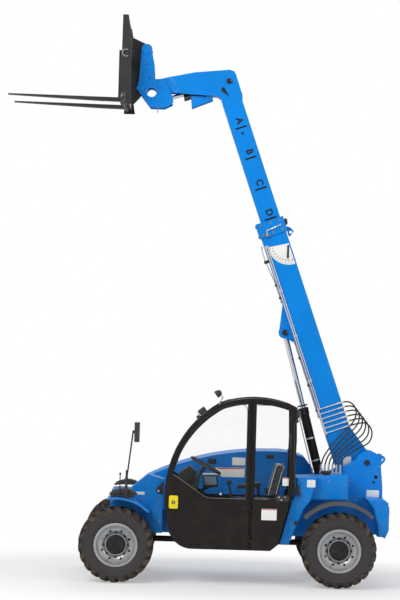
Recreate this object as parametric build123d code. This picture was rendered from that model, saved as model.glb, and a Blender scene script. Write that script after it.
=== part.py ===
"""Compact telehandler with its boom raised, in millimetres.

+X points forward, +Y to the operator's left and +Z up. The origin is on the ground, midway along the machine.
Each sub-part is written to parts/NODE.step. Boom pieces are drawn with the boom level, in its own frame: X runs
along the boom from its pivot and Z is square to it. They are then turned up to the raised angle.
"""

import math
import os

from build123d import *

# ---------------------------------------------------------------- driving dimensions
WHEELBASE = 2288.0
FRONT_AXLE_X = 792.0
REAR_AXLE_X = FRONT_AXLE_X - WHEELBASE
OVERALL_WIDTH = 1800.0
TYRE_DIAMETER = 775.0
TYRE_WIDTH = 264.0
BEAD_DIAMETER = 419.0
RIM_WALL = 9.0
RIM_LIP = 15.0
RIM_SEAT = 0.80
KINGPIN_INSET = 128.0
RUNNING_GAP = 0.5
SIDE_GAP = 6.0

FRAME_INNER_Y = 170.0
FRAME_PLATE = 22.0
FRAME_BOTTOM_Z = 470.0
FLOOR_PLATE = 16.0
TAIL_X = -1975.0
COUNTERWEIGHT_X = -2022.0
NOSE_X = 900.0

PIVOT_X = -1805.0
PIVOT_Z = 1262.0
PIVOT_PIN_D = 70.0
BOOM_ANGLE = 70.4

OUTER_HALF_WIDTH = 125.0
OUTER_TOP = -52.0
OUTER_BOTTOM = -322.0
OUTER_WALL = 10.0
OUTER_START = -60.0
OUTER_END = 2700.0
COLLAR_LENGTH = 160.0
COLLAR_REACH = 47.0

INNER_HALF_WIDTH = 103.0
INNER_TOP = OUTER_TOP - OUTER_WALL - 3.0
INNER_BOTTOM = -276.0
PAD_GAP = 0.6
INNER_WALL = 9.0
INNER_TAIL = 1330.0
INNER_END = 4075.0

LIFT_BASE_X = -1387.0
LIFT_BASE_Z = 850.0
LIFT_EYE_ALONG = 1566.0
LIFT_EYE_BELOW = -394.0
LIFT_BARREL_D = 96.0
LIFT_ROD_D = 56.0

TILT_PIVOT_X = 480.0
TILT_PIVOT_Z = 5185.0
TILT_BASE_ALONG = 4277.0
TILT_BASE_BELOW = -135.0
TILT_EYE_X = 408.0
TILT_EYE_Z = 5048.0
TILT_BARREL_D = 90.0
TILT_ROD_D = 44.0

CAB_INNER_Y = FRAME_INNER_Y + FRAME_PLATE
CAB_OUTER_Y = 790.0
CAB_TUBE = 60.0
DOOR_SKIN = 26.0
GLASS = 6.0

POD_INNER_Y = -CAB_INNER_Y
POD_OUTER_Y = -800.0
POD_SHEET = 6.0

FORK_LENGTH = 1188.0
FORK_WIDTH = 100.0
FORK_THICK = 40.0
FORK_SPREAD = 840.0
CARRIAGE_WIDTH = 1200.0

# ---------------------------------------------------------------- derived places
AXLE_Z = TYRE_DIAMETER / 2
WHEEL_Y = (OVERALL_WIDTH - TYRE_WIDTH) / 2
KINGPIN_Y = WHEEL_Y - KINGPIN_INSET
FRAME_OUTER_Y = FRAME_INNER_Y + FRAME_PLATE
BOOM = Pos(PIVOT_X, 0, PIVOT_Z) * Rot(0, -BOOM_ANGLE, 0)
AXLES = {"front": FRONT_AXLE_X, "rear": REAR_AXLE_X}
SIDES = {"left": 1, "right": -1}

os.makedirs("parts", exist_ok=True)

# sizes of the smaller parts
SPINDLE_D = 92.0
KNUCKLE_HALF = 74.0
YOKE_EAR = 26.0
KINGPIN_D = 44.0
STEER_ARM = 120.0
STEER_ROD_Z = 46.0
HOOD_EDGE_Y = POD_INNER_Y - 24
HOOD_HINGE_Z = 1348.0
HOOD_HINGES_X = (-1000.0, -560.0)
HOOD_PIN_D = 12.0
HOOD_SEAM_Z = 760.0
SILL_Z = 890.0
SILL_FRONT = (262, 1140)
SILL_KNEE = (-130, SILL_Z)
B_POST_X = -585.0
B_POST_WIDTH = 62.0
DOOR_HINGE_X = -572.0
DOOR_IN_Y = CAB_OUTER_Y + 4
DOOR_OUT_Y = DOOR_IN_Y + DOOR_SKIN
DOOR_HINGE_Y = (DOOR_IN_Y + DOOR_OUT_Y) / 2
DOOR_BARREL_D = 26.0
DOOR_PIN_D = 12.0
CAB_FLOOR_Z = 440.0
HINGE_LEVELS = (470.0, 790.0)
SEAT_Y = 500.0
WHEEL_TILT = 28.0
HEAD_HALF = 104.0
HEAD_PLATE = 16.0
TILT_EYE_HALF = 42.0
TILT_ALONG = (TILT_PIVOT_X - PIVOT_X) * math.cos(math.radians(BOOM_ANGLE)) + (TILT_PIVOT_Z - PIVOT_Z) * math.sin(
    math.radians(BOOM_ANGLE)
)
TILT_BELOW = -(TILT_PIVOT_X - PIVOT_X) * math.sin(math.radians(BOOM_ANGLE)) + (TILT_PIVOT_Z - PIVOT_Z) * math.cos(
    math.radians(BOOM_ANGLE)
)
LIFT_CLOSED = 1127.0
TILT_CLOSED = 560.0
HITCH_IN_Y = HEAD_HALF + SIDE_GAP
HITCH_PLATE = 22.0
HOOK_TUBE = (TILT_PIVOT_X + 156, TILT_PIVOT_Z + 370)
HOOK_TUBE_D = 80.0
LOCK_PIN = (TILT_PIVOT_X + 205, TILT_PIVOT_Z - 30)
LOCK_PIN_D = 44.0
CARRIAGE_FACE_X = 874.0
FORK_BAR_TOP = 5480.0
FORK_HEEL_Z = 4967.0
FORK_RISE = 12.0
FORK_TIP_T = 10.0
FENDER_CLEAR = 80.0
FRONT_FENDER_T = 14.0
LAMP_Y = 700.0
LINE_D = 14.0
LINE_COUNT = 6
LINE_PITCH = 52.0
LINE_FIRST = 684.0
LINE_END = -84.0
LINE_STAND = 5.0
HOSE_D = 16.0
HOSE_Y = OUTER_HALF_WIDTH + 30.0
PORT_X = -1320.0
PORT_PITCH = 40.0
PORT_Y = 240.0
PORT_Z = 1185.0


# ---------------------------------------------------------------- helpers
def save(node, *shapes):
    """Writes one node as a compound of its solids."""
    solids = [s for shape in shapes for s in shape.solids()]
    export_step(Compound(children=solids) if len(solids) > 1 else solids[0], f"parts/{node}.step")


def block(x, y, z):
    """A box from three (low, high) pairs."""
    size = [high - low for low, high in (x, y, z)]
    centre = [(high + low) / 2 for low, high in (x, y, z)]
    return Pos(*centre) * Box(*size)


def slab(face, y_low, y_high):
    """A face drawn as (x, z), made solid from y_low to y_high."""
    return Pos(0, y_low, 0) * extrude(Plane.XZ * face, amount=y_high - y_low, dir=(0, 1, 0))


def outline(*points):
    """A straight-sided face through (x, z) points."""
    return make_face(Polyline(*points, close=True))


def rod_y(x, z, diameter, y_low, y_high):
    """A round bar along Y."""
    length = y_high - y_low
    return Pos(x, (y_low + y_high) / 2, z) * Rot(90, 0, 0) * Cylinder(diameter / 2, length)


def bar(start, end, diameter):
    """A round bar between two points."""
    a = Vector(*start)
    b = Vector(*end)
    return Plane(origin=a, z_dir=b - a) * Cylinder(
        diameter / 2, (b - a).length, align=(Align.CENTER, Align.CENTER, Align.MIN)
    )


def ring_y(x, z, outer, inner, y_low, y_high):
    """A round sleeve along Y."""
    return rod_y(x, z, outer, y_low, y_high) - rod_y(x, z, inner, y_low - 1, y_high + 1)


def pair(shape):
    """A shape and its mirror image across the machine's centre plane."""
    return [shape, mirror(shape, Plane.XZ)]


def joined(shapes):
    """One solid from touching shapes."""
    result = shapes[0]
    for shape in shapes[1:]:
        result = result + shape
    return result


def stadium(a, b, radius_a, radius_b):
    """A face round two circles, as (x, z) centres, with straight flanks."""
    circles = Pos(*a) * Circle(radius_a) + Pos(*b) * Circle(radius_b)
    return make_hull(circles.edges())


# ---------------------------------------------------------------- wheels, knuckles and axles


def tyre():
    """A tyre about the Y axis, centred on the origin."""
    half = TYRE_WIDTH / 2
    tread = TYRE_DIAMETER / 2
    bead = BEAD_DIAMETER / 2
    seat = RIM_SEAT * half
    lip = bead + RIM_LIP + 2
    wall = Line((bead, -seat), (bead, seat)) + Line((bead, seat), (lip, seat)) + Line((bead, -seat),
        (lip, -seat))
    for side in (1, -1):
        wall += ThreePointArc((lip, side * seat), (0.5 * (tread + bead), side * half),
            (0.93 * tread, side * 0.94 * half))
        wall += ThreePointArc(
            (0.93 * tread, side * 0.94 * half), (0.975 * tread, side * 0.87 * half), (tread,
                side * 0.70 * half)
        )
    wall += Line((tread, 0.70 * half), (tread, -0.70 * half))
    return revolve(make_face(wall), Axis.Y)


def rim(side):
    """A rim with its drop centre, disc and hub cover, outer face towards side."""
    half = RIM_SEAT * TYRE_WIDTH / 2
    seat = BEAD_DIAMETER / 2
    well = seat - 34
    flange = seat + RIM_LIP
    t = RIM_WALL
    section = Polyline(
        (seat, half), (flange, half), (flange, half + t), (seat - t, half + t), (seat - t,
            48 + t), (well - t, 30),
        (well - t, -30), (seat - t, -48 - t), (seat - t, -half - t), (flange, -half - t), (flange, -half),
        (seat, -half), (seat, -48), (well, -30 + 4), (well, 30 - 4), (seat, 48), close=True,
    )
    barrel = revolve(make_face(section), Axis.Y)
    disc = revolve(
        make_face(Polyline(
            (SPINDLE_D / 2 + RUNNING_GAP, side * 44), (118, side * 44), (150, side * 66), (seat - t + 2,
                side * 58),
            (seat - t + 2, side * 72), (146, side * 80), (112, side * 58), (SPINDLE_D / 2 + RUNNING_GAP,
                side * 58),
            close=True,
        )),
        Axis.Y,
    )
    for step in range(8):
        hole = Rot(0, 22.5 + 45 * step, 0) * Pos(150, side * 70, 0) * Rot(90, 0, 0) * Cylinder(13, 60)
        disc = disc - hole
    hub = revolve(
        make_face(Polyline(
            (SPINDLE_D / 2 + RUNNING_GAP, side * 10), (82, side * 10), (82, side * 58), (74, side * 92),
            (60, side * 102), (0, side * 102), (0, side * 84), (SPINDLE_D / 2 + RUNNING_GAP,
                side * 84), close=True,
        )),
        Axis.Y,
    )
    return joined([barrel, disc, hub])


def knuckle(side, arm_way):
    """A steering knuckle about its kingpin, with spindle and steering arm; local origin at the kingpin centre."""
    post = Cylinder(46, 2 * KNUCKLE_HALF)
    flange = rod_y(0, 0, 150, 20, KINGPIN_INSET - 66)
    spindle = rod_y(0, 0, SPINDLE_D, 0, KINGPIN_INSET + 80)
    pins = Pos(0, 0, 0) * Cylinder(KINGPIN_D / 2, 2 * (KNUCKLE_HALF + SIDE_GAP + YOKE_EAR - 2))
    arm = block((min(0, arm_way * STEER_ARM), max(0, arm_way * STEER_ARM)), (-20, 20), (0, 24))
    arm_end = Pos(arm_way * STEER_ARM, 0, 12) * Cylinder(24, 24)
    body = joined([post, flange, spindle, pins, arm, arm_end])
    return body if side > 0 else mirror(body, Plane.XZ)


def axle(arm_way):
    """A steering drive axle about its centre, with the steering cylinder barrel on one side."""
    housing = Sphere(128) + rod_y(0, 0, 190, -150, 150)
    pieces = [housing]
    for side in (1, -1):
        inner = side * 120
        outer = side * (KINGPIN_Y - 78)
        beam = revolve(
            make_face(Polyline((0, inner), (66, inner), (52, outer), (0, outer), close=True)), Axis.Y
        )
        pieces.append(beam)
        web = block((-42, 42), tuple(sorted((side * (KINGPIN_Y - 98), side * (KINGPIN_Y - 62)))),
            (-106, 106))
        pieces.append(web)
        for level in (1, -1):
            low = level * (KNUCKLE_HALF + SIDE_GAP)
            high = level * (KNUCKLE_HALF + SIDE_GAP + YOKE_EAR)
            ear = block((-42, 42), tuple(sorted((side * (KINGPIN_Y - 98), side * KINGPIN_Y))),
                tuple(sorted((low, high))))
            boss = Pos(0, side * KINGPIN_Y, (low + high) / 2) * Cylinder(42, YOKE_EAR)
            pieces += [ear, boss]
        pieces.append(block((-60, 60), tuple(sorted((side * 132, side * FRAME_OUTER_Y))),
            (0, FRAME_BOTTOM_Z - AXLE_Z)))
    body = joined(pieces)
    for side in (1, -1):
        body = body - Pos(0, side * KINGPIN_Y, 0) * Cylinder(KINGPIN_D / 2 + RUNNING_GAP, 300)
    barrel_x = arm_way * STEER_ARM
    barrel = ring_y(barrel_x, STEER_ROD_Z, 62, 30 + 2 * RUNNING_GAP, -190, 190)
    saddles = [block(tuple(sorted((0, barrel_x * 0.86))), (y - 20, y + 20),
        (0, STEER_ROD_Z + 16)) for y in (-120, 120)]
    pillow = [s - rod_y(barrel_x, STEER_ROD_Z, 61, -200, 200) for s in saddles]
    bore = rod_y(barrel_x, STEER_ROD_Z, 30 + 2 * RUNNING_GAP, -200, 200)
    return joined([body, barrel] + pillow) - bore


def steer_rod(arm_way):
    """The steering cylinder's through rod, with a flat eye over each knuckle arm."""
    x = arm_way * STEER_ARM
    half = KINGPIN_Y
    rod = rod_y(x, STEER_ROD_Z, 30, -half + 60, half - 60)
    eyes = [Pos(x, side * half, STEER_ROD_Z - 8) * Cylinder(24, 16) for side in (1, -1)]
    links = [block((x - 12, x + 12), tuple(sorted((side * (half - 80), side * half))),
        (STEER_ROD_Z - 16, STEER_ROD_Z)) for side in (1, -1)]
    return joined([rod] + eyes + links)


for end, axle_x in AXLES.items():
    arm_way = 1 if end == "front" else -1
    save(f"{end}_axle", Pos(axle_x, 0, AXLE_Z) * axle(arm_way))
    save(f"{end}_steering_rod", Pos(axle_x, 0, AXLE_Z) * steer_rod(arm_way))
    for name, side in SIDES.items():
        save(f"{end}_{name}_knuckle", Pos(axle_x, side * KINGPIN_Y, AXLE_Z) * knuckle(side, arm_way))
        save(f"{end}_{name}_rim", Pos(axle_x, side * WHEEL_Y, AXLE_Z) * rim(side))
        save(f"{end}_{name}_tyre", Pos(axle_x, side * WHEEL_Y, AXLE_Z) * tyre())


# ---------------------------------------------------------------- frame, tail and running parts
def frame():
    """Two deep side plates, a floor between them, cross tubes and the tail tower that carries the boom pivot."""
    crown = 118.0
    side_plate = outline(
        (TAIL_X, 520), (TAIL_X, 1010), (-1950, 1260), (PIVOT_X - 60, PIVOT_Z + 90), (PIVOT_X + 70,
            PIVOT_Z + 60),
        (-1560, 1215), (-1440, 1150), (-1250, 1120), (-1040, 760), (300, 700), (NOSE_X - 60,
            690), (NOSE_X, 640),
        (NOSE_X, FRAME_BOTTOM_Z), (-1700, FRAME_BOTTOM_Z),
    )
    eye = Pos(-1958, 1302) * Circle(40)
    face = side_plate + Pos(PIVOT_X, PIVOT_Z) * Circle(crown) + eye + outline(
        (-1990, 1282), (-1925, 1345), (-1850, 1378), (-1850, 1250), (-1952, 1235)
    )
    face = face - Pos(-1958, 1302) * Circle(17)
    face = face - Pos(-1896, 1118) * Circle(17) - Pos(-1876, 1061) * Circle(11)
    plate = slab(face, FRAME_INNER_Y, FRAME_OUTER_Y)
    pieces = pair(plate)
    inner = (-FRAME_INNER_Y, FRAME_INNER_Y)
    pieces.append(block((-1700, NOSE_X), inner, (FRAME_BOTTOM_Z, FRAME_BOTTOM_Z + FLOOR_PLATE)))
    pieces.append(block((TAIL_X, TAIL_X + 20), inner, (520, 1000)))
    pieces.append(block((NOSE_X - 20, NOSE_X), inner, (FRAME_BOTTOM_Z, 640)))
    pieces.append(rod_y(-760, 620, 110, -FRAME_INNER_Y, FRAME_INNER_Y))
    pieces.append(rod_y(PIVOT_X, PIVOT_Z, PIVOT_PIN_D, -FRAME_OUTER_Y - 10, FRAME_OUTER_Y + 10))
    pieces.append(rod_y(LIFT_BASE_X, LIFT_BASE_Z, LIFT_BARREL_D * 0.5 - 2 * RUNNING_GAP, -70, 70))
    for side in (1, -1):
        ear = slab(stadium((LIFT_BASE_X, LIFT_BASE_Z), (LIFT_BASE_X - 20, 560), 58, 80), 62, 82)
        ear = ear + block((LIFT_BASE_X - 110, LIFT_BASE_X + 70), (62, 82), (FRAME_BOTTOM_Z, 560))
        pieces.append(ear if side > 0 else mirror(ear, Plane.XZ))
    for end_x in AXLES.values():
        saddle = block((end_x - 70, end_x + 70), (-FRAME_INNER_Y, FRAME_INNER_Y), (FRAME_BOTTOM_Z, 560))
        pieces.append(saddle)
    body = joined(pieces)
    for end_x in AXLES.values():
        body = body - Pos(end_x, 0, AXLE_Z) * Sphere(128 + SIDE_GAP)
        body = body - rod_y(end_x, AXLE_Z, 190 + 2 * SIDE_GAP, -160, 160)
    return body


save("chassis_frame", frame())


def counterweight():
    """The cast tail weight behind and below the tower, with a plated body behind each rear wheel."""
    face = outline(
        (TAIL_X, 860), (COUNTERWEIGHT_X, 828), (COUNTERWEIGHT_X, 587), (-1985, 505), (TAIL_X, 505)
    )
    core = slab(face, -FRAME_OUTER_Y - 380, FRAME_OUTER_Y + 380)
    wings = []
    wing_face = outline(
        (-2014, 868), (COUNTERWEIGHT_X, 657), (-2011, 574), (-1971, 517), (-1908, 517), (-1900, 640),
        (-1860, 800), (-1780, 905), (-1953, 905),
    )
    wing = slab(wing_face, FRAME_OUTER_Y, FRAME_OUTER_Y + 380)
    wing = fillet(wing.faces().sort_by(Axis.Y)[-1].edges(), 22)
    for shape in pair(wing):
        wings.append(shape)
    return joined([core] + wings)


save("counterweight", counterweight())


# drive shaft between the axles, engine block in its pod
save("drive_shaft", joined([
    bar((REAR_AXLE_X + 136, 0, AXLE_Z), (FRONT_AXLE_X - 136, 0, AXLE_Z), 62),
    bar((REAR_AXLE_X + 128.4, 0, AXLE_Z), (REAR_AXLE_X + 170, 0, AXLE_Z), 110),
    bar((FRONT_AXLE_X - 170, 0, AXLE_Z), (FRONT_AXLE_X - 128.4, 0, AXLE_Z), 110),
]))


# ---------------------------------------------------------------- engine pod and hood on the right


def pod_profile():
    """The arched side view of the engine pod."""
    top = [
        ThreePointArc((511, 1025), (-210, 1275), (-807, 1331)),
        ThreePointArc((-807, 1331), (-1020, 1318), (-1167, 1274)),
        Polyline((-1167, 1274), (-1257, 1157), (-1257, 1030), (-985, 418), (255, 418), (330, 600),
            (511, 905), (511, 1025)),
    ]
    return make_face(top)


def pod_shell():
    """The pod as a hollow sheet body, open at the bottom."""
    outside = slab(pod_profile(), POD_OUTER_Y, POD_INNER_Y)
    inside = slab(offset(pod_profile(), -POD_SHEET), POD_OUTER_Y + POD_SHEET, POD_INNER_Y - POD_SHEET)
    return outside - inside


def lid_zone(gap):
    """The space that the hood takes: everything above the seam and outside the inner wall."""
    low = HOOD_SEAM_Z - gap
    return block((-1150 - gap, 420 + gap), (POD_OUTER_Y - 50, HOOD_EDGE_Y + gap), (low, 1500))


def hinge_stand(x):
    """The pod's half of a hood hinge: a bracket with its pin."""
    foot = block((x - 22, x - 4), (HOOD_EDGE_Y + 3, POD_INNER_Y - 2), (1308, HOOD_HINGE_Z + 10))
    top = block((x - 22, x - 4), (HOOD_EDGE_Y - 10, POD_INNER_Y - 2),
        (HOOD_HINGE_Z - 10, HOOD_HINGE_Z + 10))
    return joined([foot, top, bar((x - 22, HOOD_EDGE_Y, HOOD_HINGE_Z),
        (x + 20, HOOD_EDGE_Y, HOOD_HINGE_Z), HOOD_PIN_D)])


def hinge_strap(x):
    """The hood's half of a hinge: a barrel and a strap on the hood's top."""
    barrel = bar((x - 2, HOOD_EDGE_Y, HOOD_HINGE_Z), (x + 20, HOOD_EDGE_Y, HOOD_HINGE_Z), 26)
    strap = block((x - 2, x + 20), (HOOD_EDGE_Y - 50, HOOD_EDGE_Y - 4), (1306, HOOD_HINGE_Z + 2))
    bore = bar((x - 20, HOOD_EDGE_Y, HOOD_HINGE_Z), (x + 40, HOOD_EDGE_Y, HOOD_HINGE_Z),
        HOOD_PIN_D + 2 * RUNNING_GAP)
    return barrel + strap - bore


shell = pod_shell()
save("engine_pod", joined([shell - lid_zone(SIDE_GAP / 2)] + [hinge_stand(x) for x in HOOD_HINGES_X]))
hood = joined([shell & lid_zone(-SIDE_GAP / 2)] + [hinge_strap(x) for x in HOOD_HINGES_X])
save("engine_hood", hood)
save("engine_block", block((-900, -250), (-640, -260), (418 + POD_SHEET, 1060)))


# ---------------------------------------------------------------- cab on the left


def cab_side():
    """The cab's side view: sloped front, bowed windscreen post and roof, upright back."""
    edges = [
        Polyline((-791, 362), (20, 362)),
        ThreePointArc((20, 362), (165, 412), (253, 543)),
        ThreePointArc((253, 543), (305, 830), (286, 1123)),
        ThreePointArc((286, 1123), (72, 1580), (-256, 1861)),
        ThreePointArc((-256, 1861), (-600, 1922), (-975, 1861)),
        Polyline((-975, 1861), (-1027, 1827), (-1036, 1509), (-1021, 955), (-992, 893), (-871, 428),
            (-791, 362)),
    ]
    return make_face(edges)


def cab_band(outer_inset, inner_inset):
    """A closed band that follows the cab's side view between two insets."""
    outer = offset(cab_side(), -outer_inset) if outer_inset else cab_side()
    return outer - offset(cab_side(), -inner_inset)


def cab_rings():
    """The two side hoops, their middle posts and the cross tubes."""
    band = cab_band(0, CAB_TUBE)
    post = Pos(B_POST_X, 1150) * Rectangle(B_POST_WIDTH, 1600) & cab_side()
    hoop = band + post
    pieces = []
    for low in (CAB_INNER_Y, CAB_OUTER_Y - 50):
        pieces.append(slab(hoop, low, low + 50))
    across = (CAB_INNER_Y + 40, CAB_OUTER_Y - 40)
    spots = ((-262, 1828), (-978, 1828), (256, 1110), (-990, 930), (150, 440), (-820, 405))
    for x, z in spots:
        pieces.append(rod_y(x, z, 42, *across))
    return joined(pieces)


def door_face(inset):
    """The door's outline: the cab's side view ahead of the hinge line."""
    front = Pos(500 + DOOR_HINGE_X + 14, 1100) * Rectangle(1000, 1800)
    return offset(cab_side(), -inset) & front


def below_sill():
    """Everything under the window line, ahead of the hinge."""
    return outline((-1200, 300), (400, 300), (400, 1229), SILL_FRONT, SILL_KNEE, (-1200, SILL_Z))


def door_panel():
    """Lower skin, window frame and hinge barrels in one piece."""
    lower = door_face(12) & below_sill()
    stile = Pos(DOOR_HINGE_X + 14 + 17, 1400) * Rectangle(34, 1200)
    upper = (door_face(12) - door_face(48)) + (stile & door_face(12))
    skin = slab(lower + upper, DOOR_IN_Y, DOOR_OUT_Y)
    for low in HINGE_LEVELS:
        barrel = Pos(DOOR_HINGE_X, DOOR_HINGE_Y, low + 20) * Cylinder(DOOR_BARREL_D / 2, 40)
        leaf = block((DOOR_HINGE_X, DOOR_HINGE_X + 30), (DOOR_HINGE_Y, DOOR_HINGE_Y + 8), (low, low + 40))
        bore = Pos(DOOR_HINGE_X, DOOR_HINGE_Y, low + 20) * Cylinder(DOOR_PIN_D / 2 + RUNNING_GAP, 60)
        skin = skin + barrel + leaf - bore
    return skin


def hinge_pins():
    """The pins that the door turns on, each standing on a bracket of the fixed rear panel."""
    pieces = []
    for low in HINGE_LEVELS:
        seat = block((DOOR_HINGE_X - 60, DOOR_HINGE_X + 9), (DOOR_HINGE_Y - 9, DOOR_HINGE_Y + 9),
            (low - 22, low - 2))
        pin = Pos(DOOR_HINGE_X, DOOR_HINGE_Y, low + 9) * Cylinder(DOOR_PIN_D / 2, 58)
        pieces += [seat, pin]
    return pieces


def rear_side_panel():
    """The fixed skin behind the door, with the hinge pins."""
    face = (offset(cab_side(), -12) & below_sill()) & Pos(-500 + DOOR_HINGE_X - 28,
        900) * Rectangle(1000, 1400)
    return joined([slab(face, CAB_OUTER_Y, DOOR_OUT_Y)] + hinge_pins())


def cab_tub():
    """Floor, inner wall, front and rear bulkheads below the windows."""
    between = (CAB_INNER_Y + 50, CAB_OUTER_Y - 50)
    floor = block((-830, 120), between, (CAB_FLOOR_Z, CAB_FLOOR_Z + 8))
    wall_face = offset(cab_side(), -CAB_TUBE) & below_sill()
    wall_face = wall_face & Pos(-400, 900 + CAB_FLOOR_Z + 8) * Rectangle(2000, 1800)
    wall_face = wall_face - Pos(B_POST_X, 1150) * Rectangle(B_POST_WIDTH, 1600)
    wall_face = wall_face - Pos(256, 1110) * Circle(22)
    wall = slab(wall_face, CAB_INNER_Y + 20, CAB_INNER_Y + 26)
    band = offset(cab_side(), -20) - offset(cab_side(), -28)
    front = slab(band & outline((160, 470), (400, 470), (400, 1080), (160, 1080)), *between)
    back = slab(band & outline((-1200, 460), (-860, 460), (-860, 880), (-1200, 880)), *between)
    return [floor, wall, front, back]


def glass_band(region, inset):
    """Bent glass or sheet that follows the cab's side view between the hoops."""
    band = offset(cab_side(), -inset) - offset(cab_side(), -inset - GLASS)
    return slab(band & region, CAB_INNER_Y + 50, CAB_OUTER_Y - 50)


def window_face(low_x, high_x):
    """A flat pane inside the side hoop above the window line."""
    pane = offset(cab_side(), -CAB_TUBE) - below_sill()
    return pane & Pos((low_x + high_x) / 2, 1400) * Rectangle(high_x - low_x, 1200)


save("cab_frame", cab_rings())
save("cab_tub", *cab_tub())
save("windscreen", glass_band(outline((-236, 2000), (400, 2000), (400, 1140), (200, 1140)), 20))
save("roof_panel", glass_band(outline((-284, 2000), (-284, 1700), (-956, 1700), (-956, 2000)), 14))
save("rear_window", glass_band(outline((-1200, 960), (-940, 960), (-940, 1790), (-1200, 1790)), 20))
post_half = B_POST_WIDTH / 2
save("quarter_window", slab(window_face(-1100, B_POST_X - post_half), CAB_OUTER_Y - 28,
    CAB_OUTER_Y - 28 + GLASS))
right_panes = window_face(-1100, B_POST_X - post_half) + window_face(B_POST_X + post_half, 400)
save("right_window", slab(right_panes, CAB_INNER_Y + 20, CAB_INNER_Y + 20 + GLASS))
save("rear_side_panel", rear_side_panel())
save("door_panel", door_panel())
door_glass = (door_face(48) - below_sill()) & Pos(500 + DOOR_HINGE_X + 48, 1400) * Rectangle(1000, 1200)
save("door_window", slab(door_glass, DOOR_IN_Y + 10, DOOR_IN_Y + 10 + GLASS))
save("door_latch", block((180, 250), (DOOR_OUT_Y, DOOR_OUT_Y + 12), (790, 898)))

# seat, column and controls
save("seat_base", block((-800, -400), (SEAT_Y - 150, SEAT_Y + 150), (CAB_FLOOR_Z + 8, 790)))
save("seat_cushion", fillet(block((-830, -360), (SEAT_Y - 215, SEAT_Y + 215), (790, 880)).edges(), 25))
back_face = outline((-850, 880), (-760, 880), (-840, 1290), (-910, 1290))
save("seat_back", slab(back_face, SEAT_Y - 205, SEAT_Y + 205))
column_foot = block((40, 122), (SEAT_Y - 50, SEAT_Y + 50), (CAB_FLOOR_Z + 8, CAB_FLOOR_Z + 30))
column = bar((80, SEAT_Y, CAB_FLOOR_Z + 26), (-20, SEAT_Y, 1090), 70) + column_foot
wheel_axis = (-math.sin(math.radians(WHEEL_TILT)), 0, math.cos(math.radians(WHEEL_TILT)))
wheel_plane = Plane(origin=(-110, SEAT_Y, 1205), z_dir=wheel_axis)
ring = wheel_plane * Torus(165, 14)
spokes = [wheel_plane * Rot(0, 0, 30 + 120 * n) * Pos(82, 0, -8) * Box(166, 26, 10) for n in range(3)]
shaft = bar((-20, SEAT_Y, 1070), (-106, SEAT_Y, 1199), 40)
save("steering_column", joined([column, shaft] + spokes + [ring]))
save("dash", slab(outline((176, 1105), (60, 1190), (-20, 1130), (40, 900), (130, 900), (200, 1050)),
    CAB_INNER_Y + 26, SEAT_Y - 45))
save("control_lever", bar((-400, 262, 800), (-360, 262, 1000), 22) + Pos(-358, 262, 1020) * Sphere(28)
     + block((-540, -330), (CAB_INNER_Y + 52, 280), (CAB_FLOOR_Z + 8, 800)))


# ---------------------------------------------------------------- boom
def boxed(x_low, x_high, half_width, z_low, z_high, wall, radius):
    """A hollow rectangular tube along X with rounded long edges."""
    height = z_high - z_low
    centre = (z_high + z_low) / 2
    outer = Plane.YZ * RectangleRounded(2 * half_width, height, radius)
    inner = Plane.YZ * RectangleRounded(2 * (half_width - wall), height - 2 * wall, max(radius - wall, 2))
    tube = extrude(outer - inner, amount=x_high - x_low, dir=(1, 0, 0))
    return Pos(x_low, 0, centre) * tube


def boom_outer():
    """The outer box with its foot, pivot sleeve, lift lugs, mouth collar and lifting eye."""
    tube = boxed(OUTER_START, OUTER_END, OUTER_HALF_WIDTH, OUTER_BOTTOM, OUTER_TOP, OUTER_WALL, 18)
    foot = outline(
        (OUTER_START, OUTER_TOP - 30), (-78, -20), (-40, 68), (40, 68), (420, OUTER_TOP - 2), (420,
            OUTER_TOP - 34)
    )
    foot = foot + Circle(76)
    ears = pair(slab(foot, OUTER_HALF_WIDTH - 15, OUTER_HALF_WIDTH - 2))
    sleeve = rod_y(0, 0, 150, -OUTER_HALF_WIDTH + 2, OUTER_HALF_WIDTH - 2)
    collar = boxed(
        OUTER_END + COLLAR_REACH - COLLAR_LENGTH, OUTER_END + COLLAR_REACH, OUTER_HALF_WIDTH + 16,
        OUTER_BOTTOM - 16, OUTER_TOP + 16, 16, 22,
    )
    pads = wear_pads()
    lug_face = outline(
        (LIFT_EYE_ALONG - 150, OUTER_BOTTOM), (LIFT_EYE_ALONG - 62,
            LIFT_EYE_BELOW), (LIFT_EYE_ALONG + 40, LIFT_EYE_BELOW - 46),
        (LIFT_EYE_ALONG + 290, OUTER_BOTTOM),
    )
    lug_face = lug_face + Pos(LIFT_EYE_ALONG, LIFT_EYE_BELOW) * Circle(64)
    lugs = pair(slab(lug_face, 62, 82))
    pins = pair(rod_y(LIFT_EYE_ALONG, LIFT_EYE_BELOW, 70, 80, 94))
    eye_face = outline((2520, OUTER_TOP + 14), (2528, -9), (2560, 30), (2610, 6), (2640, OUTER_TOP + 14))
    eye = slab(eye_face - Pos(2560, -6) * Circle(16), -12, 12)
    body = joined([tube, sleeve] + ears + [collar, pads] + lugs + pins + [eye])
    body = body - rod_y(0, 0, PIVOT_PIN_D + 2 * RUNNING_GAP, -300, 300)
    return body


def wear_pads():
    """The sliding pads in the mouth, as one collar between the two boxes."""
    height = OUTER_TOP - OUTER_BOTTOM
    hole_height = INNER_TOP - INNER_BOTTOM + 2 * PAD_GAP
    ring_face = Plane.YZ * RectangleRounded(2 * OUTER_HALF_WIDTH - 1, height - 1, 17)
    hole = Plane.YZ * RectangleRounded(2 * (INNER_HALF_WIDTH + PAD_GAP), hole_height, 4)
    centre = (OUTER_TOP + OUTER_BOTTOM) / 2
    shift = (INNER_TOP + INNER_BOTTOM) / 2 - centre
    pads = extrude(ring_face - Pos(0, 0, shift) * hole, amount=COLLAR_REACH + 10, dir=(1, 0, 0))
    return Pos(OUTER_END - 10, 0, centre) * pads


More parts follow.
